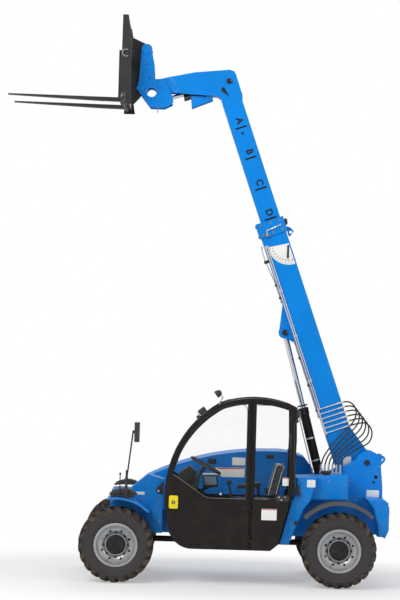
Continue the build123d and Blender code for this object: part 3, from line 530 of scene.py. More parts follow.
@dataclass(frozen=True)
class Finish:
    """A solid surface finish, with its colour shifts, dust, edge wear and fine relief.

    Attributes:
        name: Material name.
        slot: Name of a material slot; not used.
        colour: Linear base colour.
        roughness: Mean roughness.
        metallic: Metal share.
        coat: Clear coat share.
        drift: How far broad patches shift in brightness.
        relief: Height of the fine relief, in metres.
        relief_scale: Scale of the fine relief.
        gloss_drift: How far roughness shifts.
        dust: Most dust near the ground.
        wear: Colour of worn edges, or None.
        wear_share: Strength of the worn edges.
        glow: Emitted strength of its own colour.
        shine: Specular level.
    """

    name: str
    slot: str
    colour: tuple[float, float, float, float]
    roughness: float = 0.5
    metallic: float = 0.0
    coat: float = 0.0
    drift: float = 0.08
    relief: float = 0.0002
    relief_scale: float = 180.0
    gloss_drift: float = 0.1
    dust: float = 0.0
    wear: tuple[float, float, float, float] | None = None
    wear_share: float = 0.5
    glow: float = 0.0
    shine: float = 0.3

    def material(self) -> bpy.types.Material:
        """Builds the material once, and returns it each time."""
        known = bpy.data.materials.get(self.name)
        if known is not None:
            return known
        made = bpy.data.materials.new(self.name)
        made.use_nodes = True
        made.node_tree.nodes.clear()
        self.fill(Graph(made.node_tree))
        return made

    def fill(self, g: Graph) -> None:
        """Adds the nodes of the finish to an empty tree.

        Args:
            g: The material's empty graph.
        """
        where = g.add("ShaderNodeTexCoord").outputs["Object"]
        broad = g.noise(where, 2.3, 3.0)
        fine = g.noise(where, 26.0, 5.0, 0.65)
        shade = g.math("ADD", g.math("MULTIPLY", broad, 0.65), g.math("MULTIPLY", fine, 0.35))
        dark = tuple(c * (1 - self.drift * 1.6) for c in self.colour[:3]) + (1.0,)
        light = tuple(
            min(1.0, c * (1 + self.drift * 1.6) + 0.02 * self.drift)
            for c in self.colour[:3]
        ) + (1.0,)
        colour = g.blend(g.ramp(shade, 0.32, 0.68), dark, light)
        rough = g.math(
            "ADD", g.math("MULTIPLY", g.math("SUBTRACT", fine, 0.5), self.gloss_drift * 2), self.roughness,
            clamp=True
        )
        if self.dust > 0:
            height = g.add("ShaderNodeSeparateXYZ", {0: where}).outputs[2]
            low = g.math("SUBTRACT", 1.0, g.ramp(height, 0.05, 1.5))
            spots = g.ramp(g.noise(where, 7.0, 7.0, 0.7), 0.42, 0.72)
            amount = g.math("MULTIPLY", g.math("MULTIPLY", low, spots), self.dust)
            colour = g.blend(amount, colour, DUST)
            rough = g.math("ADD", rough, g.math("MULTIPLY", amount, 0.5), clamp=True)
        if self.wear is not None:
            round_edge = g.add("ShaderNodeBevel", {"Radius": 0.006}, samples=4).outputs[0]
            true = g.add("ShaderNodeNewGeometry").outputs["Normal"]
            dot = g.add(
                "ShaderNodeVectorMath", {0: round_edge, 1: true}, operation="DOT_PRODUCT"
            ).outputs["Value"]
            edge = g.ramp(dot, 0.985, 0.90)
            chips = g.ramp(g.noise(where, 42.0, 6.0, 0.7), 0.44, 0.58)
            amount = g.math("MULTIPLY", g.math("MULTIPLY", edge, chips), self.wear_share)
            colour = g.blend(amount, colour, self.wear)
        inputs: dict[str | int, object] = {
            "Base Color": colour,
            "Roughness": rough,
            "Metallic": self.metallic,
            "Coat Weight": self.coat,
            "Coat Roughness": 0.12,
            "Specular IOR Level": self.shine,
        }
        if self.relief > 0:
            grain = g.noise(where, self.relief_scale, 2.0)
            inputs["Normal"] = g.add(
                "ShaderNodeBump", {"Height": grain, "Distance": self.relief, "Strength": 0.6}
            ).outputs[0]
        if self.glow > 0:
            inputs["Emission Color"] = self.colour
            inputs["Emission Strength"] = self.glow
        shader = g.add("ShaderNodeBsdfPrincipled", inputs)
        g.add("ShaderNodeOutputMaterial", {0: shader.outputs[0]})


@dataclass(frozen=True)
class GlassFinish(Finish):
    """Clear or tinted glazing with a light film of dust.

    Attributes:
        cover: How much of the light the pane hides.
    """

    cover: float = 0.16

    def fill(self, g: Graph) -> None:
        """Adds the nodes of the glazing to an empty tree.

        Args:
            g: The material's empty graph.
        """
        where = g.add("ShaderNodeTexCoord").outputs["Object"]
        film = g.ramp(g.noise(where, 5.0, 6.0, 0.7), 0.35, 0.8)
        rough = g.math("ADD", g.math("MULTIPLY", film, 0.06), self.roughness)
        colour = g.blend(g.math("MULTIPLY", film, 0.25), self.colour, DUST)
        cover = g.math("ADD", g.math("MULTIPLY", film, 0.02), self.cover)
        shader = g.add(
            "ShaderNodeBsdfPrincipled",
            {"Base Color": colour, "Roughness": rough, "Alpha": cover, "IOR": 1.5}
        )
        g.add("ShaderNodeOutputMaterial", {0: shader.outputs[0]})


BLUE = Finish(
    "boom_blue", "blue_paint", linear(0, 128, 216), 0.36, coat=0.04, shine=0.12, drift=0.05, relief=0.00012,
    gloss_drift=0.06, dust=0.28, wear=linear(150, 178, 205), wear_share=0.3
)
CAB_BLACK = Finish(
    "cab_black", "black_paint", linear(28, 24, 23), 0.46, coat=0.03, shine=0.16, drift=0.06,
    relief_scale=320.0, dust=0.05, wear=linear(92, 90, 88), wear_share=0.5
)
RIM_SILVER = Finish(
    "rim_silver", "rim_paint", linear(168, 170, 172), 0.3, metallic=0.7, drift=0.1, dust=0.25,
    wear=linear(205, 205, 203), wear_share=0.35
)
HUB = Finish(
    "hub_grey", "rim_paint", linear(28, 28, 30), 0.5, shine=0.2, metallic=0.0, drift=0.12, dust=0.08,
    wear=linear(110, 110, 108), wear_share=0.4
)
NUT = Finish(
    "wheel_nut", "rim_paint", linear(40, 40, 42), 0.45, metallic=0.5, drift=0.15, dust=0.3,
    wear=linear(130, 128, 124), wear_share=0.5
)
FORK_GREY = Finish(
    "fork_grey", "fork_paint", linear(40, 40, 41), 0.5, shine=0.25, metallic=0.1, drift=0.16, dust=0.0,
    relief=0.0004, relief_scale=90.0, wear=linear(150, 148, 144), wear_share=0.7
)
CHROME = Finish(
    "rod_chrome", "chrome", linear(226, 229, 232), 0.09, metallic=1.0, drift=0.02, relief=0.0,
    gloss_drift=0.03
)
STEEL = Finish(
    "bright_steel", "bright_steel", linear(176, 178, 180), 0.3, metallic=1.0, drift=0.08, relief=0.0002,
    gloss_drift=0.12
)
ZINC = Finish(
    "zinc_bolt", "bright_steel", linear(150, 150, 150), 0.38, metallic=0.9, drift=0.12, relief=0.0002,
    dust=0.2
)
PLASTIC = Finish(
    "black_plastic", "black_plastic", linear(20, 20, 20), 0.5, shine=0.2, drift=0.1, relief=0.0003,
    relief_scale=420.0, dust=0.2
)
YELLOW = Finish(
    "latch_yellow", "yellow_plastic", linear(226, 206, 22), 0.42, drift=0.04, relief=0.0002,
    relief_scale=300.0
)
RUBBER = Finish(
    "strip_rubber", "grey_rubber", linear(84, 83, 81), 0.78, shine=0.2, drift=0.12, relief=0.0005,
    relief_scale=260.0, dust=0.06
)
HOSE = Finish(
    "hose_rubber", "hose_rubber", linear(24, 25, 27), 0.46, drift=0.12, relief=0.0004, relief_scale=700.0
)
TYRE = Finish(
    "tyre_rubber", "tyre_rubber", linear(40, 38, 35), 0.8, shine=0.15, drift=0.2, relief=0.0007,
    relief_scale=150.0, dust=0.2
)
TREAD = Finish(
    "tread_rubber", "tyre_rubber", linear(62, 55, 49), 0.9, shine=0.15, drift=0.25, relief=0.0009,
    relief_scale=120.0, dust=0.3
)
VINYL = Finish(
    "seat_vinyl", "seat_vinyl", linear(26, 26, 28), 0.55, drift=0.1, relief=0.0006, relief_scale=520.0
)
ENGINE = Finish(
    "engine_grey", "bright_steel", linear(70, 72, 74), 0.6, metallic=0.4, drift=0.25, relief=0.0008,
    relief_scale=70.0, dust=0.4
)
BLANK = Finish("blank_white", "black_plastic", linear(232, 232, 228), 0.5, drift=0.03, relief=0.0)
# black for printed marks, plugs and louvre backings, and also painted shade on the boom head's sides
MARK_AND_SHADE = Finish("mark_and_shade_black", "black_paint", linear(16, 17, 20), 0.5, drift=0.05, relief=0.0)
MARK_PALE = Finish("mark_pale", "fork_paint", linear(168, 168, 166), 0.5, drift=0.08, relief=0.0)
LENS = GlassFinish("lamp_lens", "glazing", linear(235, 238, 240), 0.05, cover=0.35)
RED = Finish("lens_red", "glazing", linear(150, 12, 12), 0.2, coat=0.6, relief=0.0)
AMBER = Finish("lens_amber", "glazing", linear(226, 120, 12), 0.2, coat=0.6, relief=0.0)
PLATE_RED = Finish("plate_rule", "black_plastic", linear(196, 96, 92), 0.5, drift=0.03, relief=0.0)
SEAL = Finish("pane_seal", "grey_rubber", linear(98, 92, 90), 0.6, drift=0.08, relief=0.0002)
SCREEN = Finish("dash_screen", "black_plastic", linear(120, 146, 168), 0.2, coat=0.4, relief=0.0)
GLASS = GlassFinish("cab_glass", "glazing", linear(90, 104, 104), 0.03, cover=0.012)


# ---------------------------------------------------------------- repeats
class Repeat:
    """Geometry Nodes trees for what repeats: on points, round a ring and along a path."""

    @staticmethod
    def base(name: str, sockets: Sequence[tuple[str, str]]) -> tuple[Graph, bpy.types.Node, bpy.types.Node]:
        """Starts a tree with named inputs.

        Args:
            name: Tree name.
            sockets: Pairs of input name and socket type.

        Returns:
            The tree's graph, its input node and its output node.
        """
        tree = bpy.data.node_groups.new(name, "GeometryNodeTree")
        tree.interface.new_socket(name="Geometry", in_out="INPUT", socket_type="NodeSocketGeometry")
        for label, kind in sockets:
            tree.interface.new_socket(name=label, in_out="INPUT", socket_type=kind)
        tree.interface.new_socket(name="Geometry", in_out="OUTPUT", socket_type="NodeSocketGeometry")
        g = Graph(tree)
        return g, g.add("NodeGroupInput"), g.add("NodeGroupOutput")

    @staticmethod
    def close(g: Graph, start: bpy.types.Node, end: bpy.types.Node, points: object, turn: object) -> None:
        """Puts the template on each point, realizes the copies and sets their material.

        Args:
            g: The tree's graph.
            start: Its input node.
            end: Its output node.
            points: The points to copy onto.
            turn: The rotation of each copy.
        """
        template = g.add("GeometryNodeObjectInfo", {"Object": start.outputs["Template"]})
        copies = g.add(
            "GeometryNodeInstanceOnPoints",
            {"Points": points, "Instance": template.outputs["Geometry"], "Rotation": turn}
        )
        real = g.add("GeometryNodeRealizeInstances", {0: copies.outputs[0]})
        dressed = g.add(
            "GeometryNodeSetMaterial", {"Geometry": real.outputs[0], "Material": start.outputs["Finish"]}
        )
        g.tree.links.new(dressed.outputs[0], end.inputs[0])

    @staticmethod
    def spots_tree() -> bpy.types.NodeTree:
        """Copies of a template on the points of a mesh, turned by its "turn" attribute."""
        known = bpy.data.node_groups.get("on_spots")
        if known:
            return known
        g, start, end = Repeat.base(
            "on_spots", [("Template", "NodeSocketObject"), ("Finish", "NodeSocketMaterial")]
        )
        turn = g.add("GeometryNodeInputNamedAttribute", {"Name": "turn"}, data_type="FLOAT_VECTOR")
        points = g.add("GeometryNodeMeshToPoints", {"Mesh": start.outputs["Geometry"]})
        Repeat.close(g, start, end, points.outputs[0], turn.outputs[0])
        return g.tree

    @staticmethod
    def ring_tree() -> bpy.types.NodeTree:
        """Copies of a template round the Y axis, with their +X side outwards."""
        known = bpy.data.node_groups.get("on_ring")
        if known:
            return known
        sockets = [
            ("Template", "NodeSocketObject"), ("Finish", "NodeSocketMaterial"), ("Count", "NodeSocketInt"),
            ("Radius", "NodeSocketFloat"), ("Phase", "NodeSocketFloat"), ("Jitter", "NodeSocketFloat"),
            ("Seed", "NodeSocketInt")
        ]
        g, start, end = Repeat.base("on_ring", sockets)
        index = g.add("GeometryNodeInputIndex").outputs[0]
        step = g.math("DIVIDE", math.tau, start.outputs["Count"])
        shift = g.add(
            "FunctionNodeRandomValue", {"Min": -1.0, "Max": 1.0, "Seed": start.outputs["Seed"]},
            data_type="FLOAT"
        )
        loose = g.math("MULTIPLY", [s for s in shift.outputs if s.enabled][0], start.outputs["Jitter"])
        angle = g.math("ADD", g.math("ADD", g.math("MULTIPLY", index, step), start.outputs["Phase"]), loose)
        x = g.math("MULTIPLY", g.math("COSINE", angle), start.outputs["Radius"])
        z = g.math("MULTIPLY", g.math("SINE", angle), start.outputs["Radius"])
        where = g.add("ShaderNodeCombineXYZ", {0: x, 2: z}).outputs[0]
        turn = g.add("ShaderNodeCombineXYZ", {1: g.math("MULTIPLY", angle, -1.0)}).outputs[0]
        points = g.add("GeometryNodePoints", {"Count": start.outputs["Count"], "Position": where})
        Repeat.close(g, start, end, points.outputs[0], turn)
        return g.tree

    @staticmethod
    def path_tree() -> bpy.types.NodeTree:
        """Copies of a template evenly along a curve, with their +X side along it."""
        known = bpy.data.node_groups.get("on_path")
        if known:
            return known
        sockets = [
            ("Template", "NodeSocketObject"), ("Finish", "NodeSocketMaterial"), ("Count", "NodeSocketInt")
        ]
        g, start, end = Repeat.base("on_path", sockets)
        even = g.add(
            "GeometryNodeResampleCurve",
            {"Curve": start.outputs["Geometry"], "Count": start.outputs["Count"]}
        )
        points = g.add(
            "GeometryNodeCurveToPoints", {"Curve": even.outputs[0], "Count": start.outputs["Count"]}
        )
        Repeat.close(g, start, end, points.outputs[0], points.outputs["Rotation"])
        return g.tree

    @staticmethod
    def run(
        name: str, tree: bpy.types.NodeTree, holder: bpy.types.Object, template: Shape, finish: Finish,
        values: dict[str, object]
    ) -> bpy.types.Mesh:
        """Runs a tree on a holder object and returns the result as a plain mesh.

        Args:
            name: Name for the mesh.
            tree: One of the trees of this class.
            holder: The object that carries the modifier, which is removed.
            template: The shape that repeats, which is freed.
            finish: Its surface.
            values: The tree's other inputs, by name.

        Returns:
            The mesh.
        """
        pattern_mesh = bpy.data.meshes.new(name + "_pattern")
        template.to_mesh(pattern_mesh)
        template.free()
        pattern = linked(name + "_pattern", pattern_mesh)
        modifier = holder.modifiers.new("repeat", "NODES")
        modifier.node_group = tree
        given = {"Template": pattern, "Finish": finish.material(), **values}
        for item in tree.interface.items_tree:
            if item.in_out == "INPUT" and item.name in given:
                modifier[item.identifier] = given[item.name]
        bpy.context.view_layer.update()
        depsgraph = bpy.context.evaluated_depsgraph_get()
        mesh = bpy.data.meshes.new_from_object(holder.evaluated_get(depsgraph))
        holder.modifiers.remove(modifier)
        for obj in (holder, pattern):
            bpy.data.objects.remove(obj)
        return mesh

    @staticmethod
    def spots(
        name: str, template: Shape, places: Sequence[Matrix], finish: Finish,
        body: Body | str = Body.CHASSIS
    ) -> bpy.types.Object:
        """Puts a template at each place, as one piece.

        Args:
            name: Piece name.
            template: The shape, about its own origin.
            places: Where each copy goes.
            finish: Its surface.
            body: The body it rides on.

        Returns:
            The piece.
        """
        mesh = bpy.data.meshes.new(name + "_spots")
        mesh.from_pydata([m.to_translation() for m in places], [], [])
        turn = mesh.attributes.new("turn", "FLOAT_VECTOR", "POINT")
        turn.data.foreach_set("vector", [v for m in places for v in m.to_euler("XYZ")])
        holder = linked(name + "_holder", mesh)
        made = Repeat.run(name, Repeat.spots_tree(), holder, template, finish, {})
        return Piece.from_mesh(name, made, finish, body)

    @staticmethod
    def ring(
        name: str, template: Shape, count: int, radius: float, phase: float = 0.0, jitter: float = 0.0,
        seed: int = 1
    ) -> Shape:
        """Puts copies of a template round the Y axis, and returns them as one shape.

        Args:
            name: Name for the data.
            template: The shape, with its outside towards +X.
            count: Number of copies.
            radius: Distance of each from the axis.
            phase: Angle of the first.
            jitter: Most that an angle strays.
            seed: Seed of the strays.

        Returns:
            The copies as one shape.
        """
        holder = linked(name + "_holder", bpy.data.meshes.new(name + "_holder"))
        values = {"Count": count, "Radius": radius, "Phase": phase, "Jitter": jitter, "Seed": seed}
        return Repeat.shape(Repeat.run(name, Repeat.ring_tree(), holder, template, TYRE, values))

    @staticmethod
    def along(name: str, template: Shape, path: Sequence[Vector], count: int) -> Shape:
        """Puts copies of a template along a line, and returns them as one shape.

        Args:
            name: Name for the data.
            template: The shape, with its length along +X.
            path: Points of the line.
            count: Number of copies.

        Returns:
            The copies as one shape.
        """
        curve = bpy.data.curves.new(name + "_line", "CURVE")
        curve.dimensions = "3D"
        spline = curve.splines.new("POLY")
        spline.points.add(len(path) - 1)
        for point, where in zip(spline.points, path):
            point.co = (*where, 1.0)
        holder = linked(name + "_holder", curve)
        return Repeat.shape(Repeat.run(name, Repeat.path_tree(), holder, template, STEEL, {"Count": count}))

    @staticmethod
    def shape(mesh: bpy.types.Mesh) -> Shape:
        """Takes a plain mesh back into a shape, and removes the mesh.

        Args:
            mesh: The mesh, which is removed.

        Returns:
            The shape.
        """
        bm = bmesh.new()
        bm.from_mesh(mesh)
        bpy.data.meshes.remove(mesh)
        return bm


def facing(where: Sequence[float], normal: Sequence[float], roll: float = 0.0) -> Matrix:
    """A placement whose +Z side faces along a direction."""
    turn = Vector(normal).to_track_quat("Z", "Y").to_matrix().to_4x4()
    return Matrix.Translation(Vector(where)) @ turn @ Matrix.Rotation(roll, 4, "Z")


def turned_up(profile: Sequence[Flat], steps: int) -> Shape:
    """Turns a profile about the Z axis through the origin."""
    return shape_turned(profile, (0, 0, 0), Axis.Z, steps)


def bent_tube(path: Sequence[Point], bend: float, radius: float, sides: int, steps: int = 5) -> Shape:
    """Sweeps a round section along a line whose corners are rounded first."""
    return shape_tube(rounded_path(path, bend, steps), radius, sides)


def side_plates(outline: Sequence[Flat], near: float, far: float, edge: float) -> Shape:
    """One plate on each side, between two distances from the centre plane."""
    return both_sides(lambda side: shape_plate(outline, *sorted((side * near, side * far)), Axis.Y, edge))


def side_places(y: float, spots: Sequence[Flat]) -> list[Matrix]:
    """Placements that face outwards on both sides, at each (x, z)."""
    return [facing((x, side * y, z), (0, side, 0)) for side in SIDES.values() for x, z in spots]


def left_places(y: float, spots: Sequence[Flat]) -> list[Matrix]:
    """Placements that face left, at each (x, z)."""
    return [facing((x, y, z), (0, 1, 0)) for x, z in spots]


def bolt_at(size: float, where: Point, normal: Point) -> Shape:
    """A hex bolt head at a place, facing along a direction."""
    return moved(hex_bolt(size), facing(where, normal))


def hex_bolt(size: float) -> Shape:
    """A hex bolt head on its washer, with its seat at the origin and its head along +Z.

    Args:
        size: Radius over the head's corners.

    Returns:
        The bolt head.
    """
    washer = turned_up([(0.0, 0.0), (0.0, size * 1.15), (size * 0.18, size * 1.15), (size * 0.18, 0.0)], 18)
    head = turned_up(
        [
            (size * 0.18, 0.0), (size * 0.18, size), (size * 0.74, size), (size * 0.84, size * 0.86),
            (size * 0.84, 0.0)
        ],
        6
    )
    return merged([washer, head])


# ---------------------------------------------------------------- setting
@dataclass
class Setting:
    """The camera, the lamps and the pale floor round the machine."""

    distance: float = 24.5
    height: float = 2.67
    focal_share: float = 2309 / 600
    pitch: float = math.atan(24 / 2309)
    roll: float = math.radians(1.64)
    floor_reach: float = 30.0

    def camera(self) -> None:
        """Places the camera square to the left side, level with the lower boom."""
        data = bpy.data.cameras.new("camera")
        data.sensor_fit = "VERTICAL"
        data.sensor_height = 36.0
        data.lens = data.sensor_height * self.focal_share
        data.clip_end = 200.0
        obj = bpy.data.objects.new("camera", data)
        ahead = Vector((0.0, -math.cos(self.pitch), math.sin(self.pitch)))
        right = Vector((-1.0, 0.0, 0.0))
        up = right.cross(ahead)
        across = right * math.cos(self.roll) + up * math.sin(self.roll)
        above = -right * math.sin(self.roll) + up * math.cos(self.roll)
        turn = Matrix((across, above, -ahead)).transposed()
        obj.matrix_world = Matrix.Translation((0.0, self.distance, self.height)) @ turn.to_4x4()
        bpy.context.scene.collection.objects.link(obj)
        bpy.context.scene.camera = obj

    def world(self) -> None:
        """A soft even sky, seen as white."""
        world = bpy.data.worlds.new("studio")
        world.use_nodes = True
        world.node_tree.nodes.clear()
        g = Graph(world.node_tree)
        path = g.add("ShaderNodeLightPath")
        seen = g.math("MAXIMUM", path.outputs["Is Camera Ray"], path.outputs["Is Transmission Ray"])
        strength = g.math("ADD", 0.55, g.math("MULTIPLY", seen, 0.45))
        sky = g.add("ShaderNodeBackground", {"Color": (1.0, 1.0, 1.0, 1.0), "Strength": strength})
        g.add("ShaderNodeOutputWorld", {0: sky.outputs[0]})
        bpy.context.scene.world = world

    def lamp(self, name: str, where: Point, aim: Point, size: float, power: float) -> None:
        """Adds a square soft lamp aimed at a point.

        Args:
            name: Lamp name.
            where: Its place.
            aim: The point it faces.
            size: Side of its square.
            power: Its power in watts.
        """
        data = bpy.data.lights.new(name, "AREA")
        data.size = size
        data.energy = power
        obj = bpy.data.objects.new(name, data)
        obj.matrix_world = Matrix.Translation(where) @ (
            Vector(aim) - Vector(where)
        ).to_track_quat("-Z", "Y").to_matrix().to_4x4()
        bpy.context.scene.collection.objects.link(obj)

    def floor(self) -> None:
        """A pale floor that keeps the shadow near the machine and fades to white further out."""
        bm = bmesh.new()
        bmesh.ops.create_grid(bm, x_segments=2, y_segments=2, size=self.floor_reach)
        bmesh.ops.translate(bm, verts=bm.verts, vec=(0.0, 0.0, -0.002))
        mesh = bpy.data.meshes.new("floor")
        bm.to_mesh(mesh)
        bm.free()
        obj = linked("floor", mesh)
        made = bpy.data.materials.new("floor_pale")
        made.use_nodes = True
        made.node_tree.nodes.clear()
        g = Graph(made.node_tree)
        where = g.add("ShaderNodeTexCoord").outputs["Object"]
        shaped = g.add(
            "ShaderNodeVectorMath", {0: where, 1: (0.42, 0.62, 1.0)}, operation="MULTIPLY"
        ).outputs[0]
        reach = g.add("ShaderNodeVectorMath", {0: shaped}, operation="LENGTH").outputs["Value"]
        fade = g.ramp(reach, 0.7, 1.7)
        path = g.add("ShaderNodeLightPath").outputs["Is Camera Ray"]
        matt = g.add("ShaderNodeBsdfDiffuse", {"Color": (0.86, 0.86, 0.87, 1.0)})
        glow = g.add("ShaderNodeEmission", {"Color": (1.0, 1.0, 1.0, 1.0), "Strength": 1.0})
        least = g.math("MAXIMUM", fade, 0.34)
        mixed = g.add(
            "ShaderNodeMixShader",
            {0: g.math("MULTIPLY", least, path), 1: matt.outputs[0], 2: glow.outputs[0]}
        )
        g.add("ShaderNodeOutputMaterial", {0: mixed.outputs[0]})
        mesh.materials.append(made)

    def build(self) -> None:
        """Makes the whole setting."""
        self.camera()
        self.world()
        self.floor()
        self.lamp("key", (5.0, 9.0, 9.0), (0.0, 0.0, 2.0), 6.0, 760.0)
        self.lamp("fill", (-8.0, 6.0, 6.0), (0.0, 0.0, 2.0), 6.0, 200.0)
        self.lamp("back", (-1.0, -9.0, 8.0), (0.0, 0.0, 2.4), 6.0, 320.0)
        bpy.context.scene.view_settings.view_transform = "Standard"


# ---------------------------------------------------------------- hoses
@dataclass
class Hoses:
    """Six hydraulic hoses from the chassis ports over the boom's rear edge to its hard lines."""

    diameter: float = 0.016
    lengths: tuple[float, ...] = (0.985, 0.966, 0.949, 0.934, 0.920, 0.908)
    routes: tuple[tuple[Point, ...], ...] = (
        (
            (-1.32, 0.24, 1.185), (-1.32, 0.24, 1.277), (-1.4161, 0.1956, 1.4233), (-1.5394, 0.155, 1.5615),
            (-1.6592, 0.155, 1.6835), (-1.6868, 0.151, 1.7846), (-1.6548, 0.145, 1.8688),
            (-1.5774, 0.137, 1.907), (-1.4964, 0.137, 1.8782)
        ),
        (
            (-1.36, 0.24, 1.185), (-1.36, 0.24, 1.277), (-1.4541, 0.1956, 1.4079), (-1.5755, 0.155, 1.5315),
            (-1.6936, 0.155, 1.6406), (-1.7212, 0.151, 1.7417), (-1.6892, 0.145, 1.8258),
            (-1.6118, 0.137, 1.8641), (-1.5139, 0.137, 1.8292)
        ),
        (
            (-1.40, 0.24, 1.185), (-1.40, 0.24, 1.277), (-1.4921, 0.1956, 1.3924), (-1.6116, 0.155, 1.5014),
            (-1.728, 0.155, 1.5976), (-1.7556, 0.151, 1.6987), (-1.7236, 0.145, 1.7829),
            (-1.6462, 0.137, 1.8211), (-1.5313, 0.137, 1.7802)
        ),
        (
            (-1.44, 0.24, 1.185), (-1.44, 0.24, 1.277), (-1.53, 0.1956, 1.377), (-1.6477, 0.155, 1.4714),
            (-1.7624, 0.155, 1.5547), (-1.79, 0.151, 1.6558), (-1.758, 0.145, 1.7399),
            (-1.6806, 0.137, 1.7782), (-1.5487, 0.137, 1.7312)
        ),
        (
            (-1.48, 0.24, 1.185), (-1.48, 0.24, 1.277), (-1.568, 0.1956, 1.3615), (-1.6837, 0.155, 1.4413),
            (-1.7968, 0.155, 1.5117), (-1.8244, 0.151, 1.6128), (-1.7924, 0.145, 1.697),
            (-1.715, 0.137, 1.7352), (-1.5662, 0.137, 1.6822)
        ),
        (
            (-1.52, 0.24, 1.185), (-1.52, 0.24, 1.277), (-1.606, 0.1956, 1.346), (-1.7198, 0.155, 1.4112),
            (-1.8312, 0.155, 1.4688), (-1.8588, 0.151, 1.5699), (-1.8268, 0.145, 1.654),
            (-1.7494, 0.137, 1.6923), (-1.5836, 0.137, 1.6333)
        ),
    )
    blend_from: Point = (-1.52, 0.2, 1.25)
    blend_to: Point = (-1.66, 0.15, 1.70)

    def smooth_line(self, route: Sequence[Point]) -> list[Vector]:
        """Reads the points of the route's NURBS line.

        Args:
            route: The points that shape the line.

        Returns:
            Points along the line.
        """
        curve = bpy.data.curves.new("route", "CURVE")
        curve.dimensions = "3D"
        curve.resolution_u = 10
        spline = curve.splines.new("NURBS")
        spline.points.add(len(route) - 1)
        for point, where in zip(spline.points, route):
            point.co = (*where, 1.0)
        spline.order_u = 3
        spline.use_endpoint_u = True
        holder = linked("route", curve)
        mesh = baked(holder)
        line = [v.co.copy() for v in mesh.vertices]
        bpy.data.meshes.remove(mesh)
        return line

    def sleeve(self, line: Sequence[Vector], at: int, towards: int, length: float) -> Shape:
        """A crimped end sleeve over one end of a hose.

        Args:
            line: The hose's points.
            at: Index of the end.
            towards: Index of the point beside it.
            length: Length of the sleeve.

        Returns:
            The sleeve.
        """
        head = (line[towards] - line[at]).normalized()
        r = self.diameter / 2
        profile = [
            (0.0, 0.0), (0.0, r * 1.55), (0.012, r * 1.55), (0.014, r * 1.3), (length * 0.4, r * 1.3),
            (length * 0.42, r * 1.45), (length, r * 1.4), (length, 0.0)
        ]
        return moved(turned_up(profile, 16), facing(line[at], head))

    def build(self) -> None:
        """Makes each hose as a tube along its route, with crimped sleeves on its ends."""
        for n, (route, length) in enumerate(zip(self.routes, self.lengths)):
            line = self.smooth_line(route)
            hose = Piece.place(f"hose_{n + 1}", shape_tube(line, self.diameter / 2, 14), HOSE, None)
            port = Piece.place(f"hose_port_sleeve_{n + 1}", self.sleeve(line, 0, 1, 0.05), STEEL)
            line_end = Piece.place(
                f"hose_line_sleeve_{n + 1}", self.sleeve(line, -1, -2, 0.05), STEEL, Body.OUTER
            )
            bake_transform(hose)
            if n == 0:
                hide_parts("hoses")


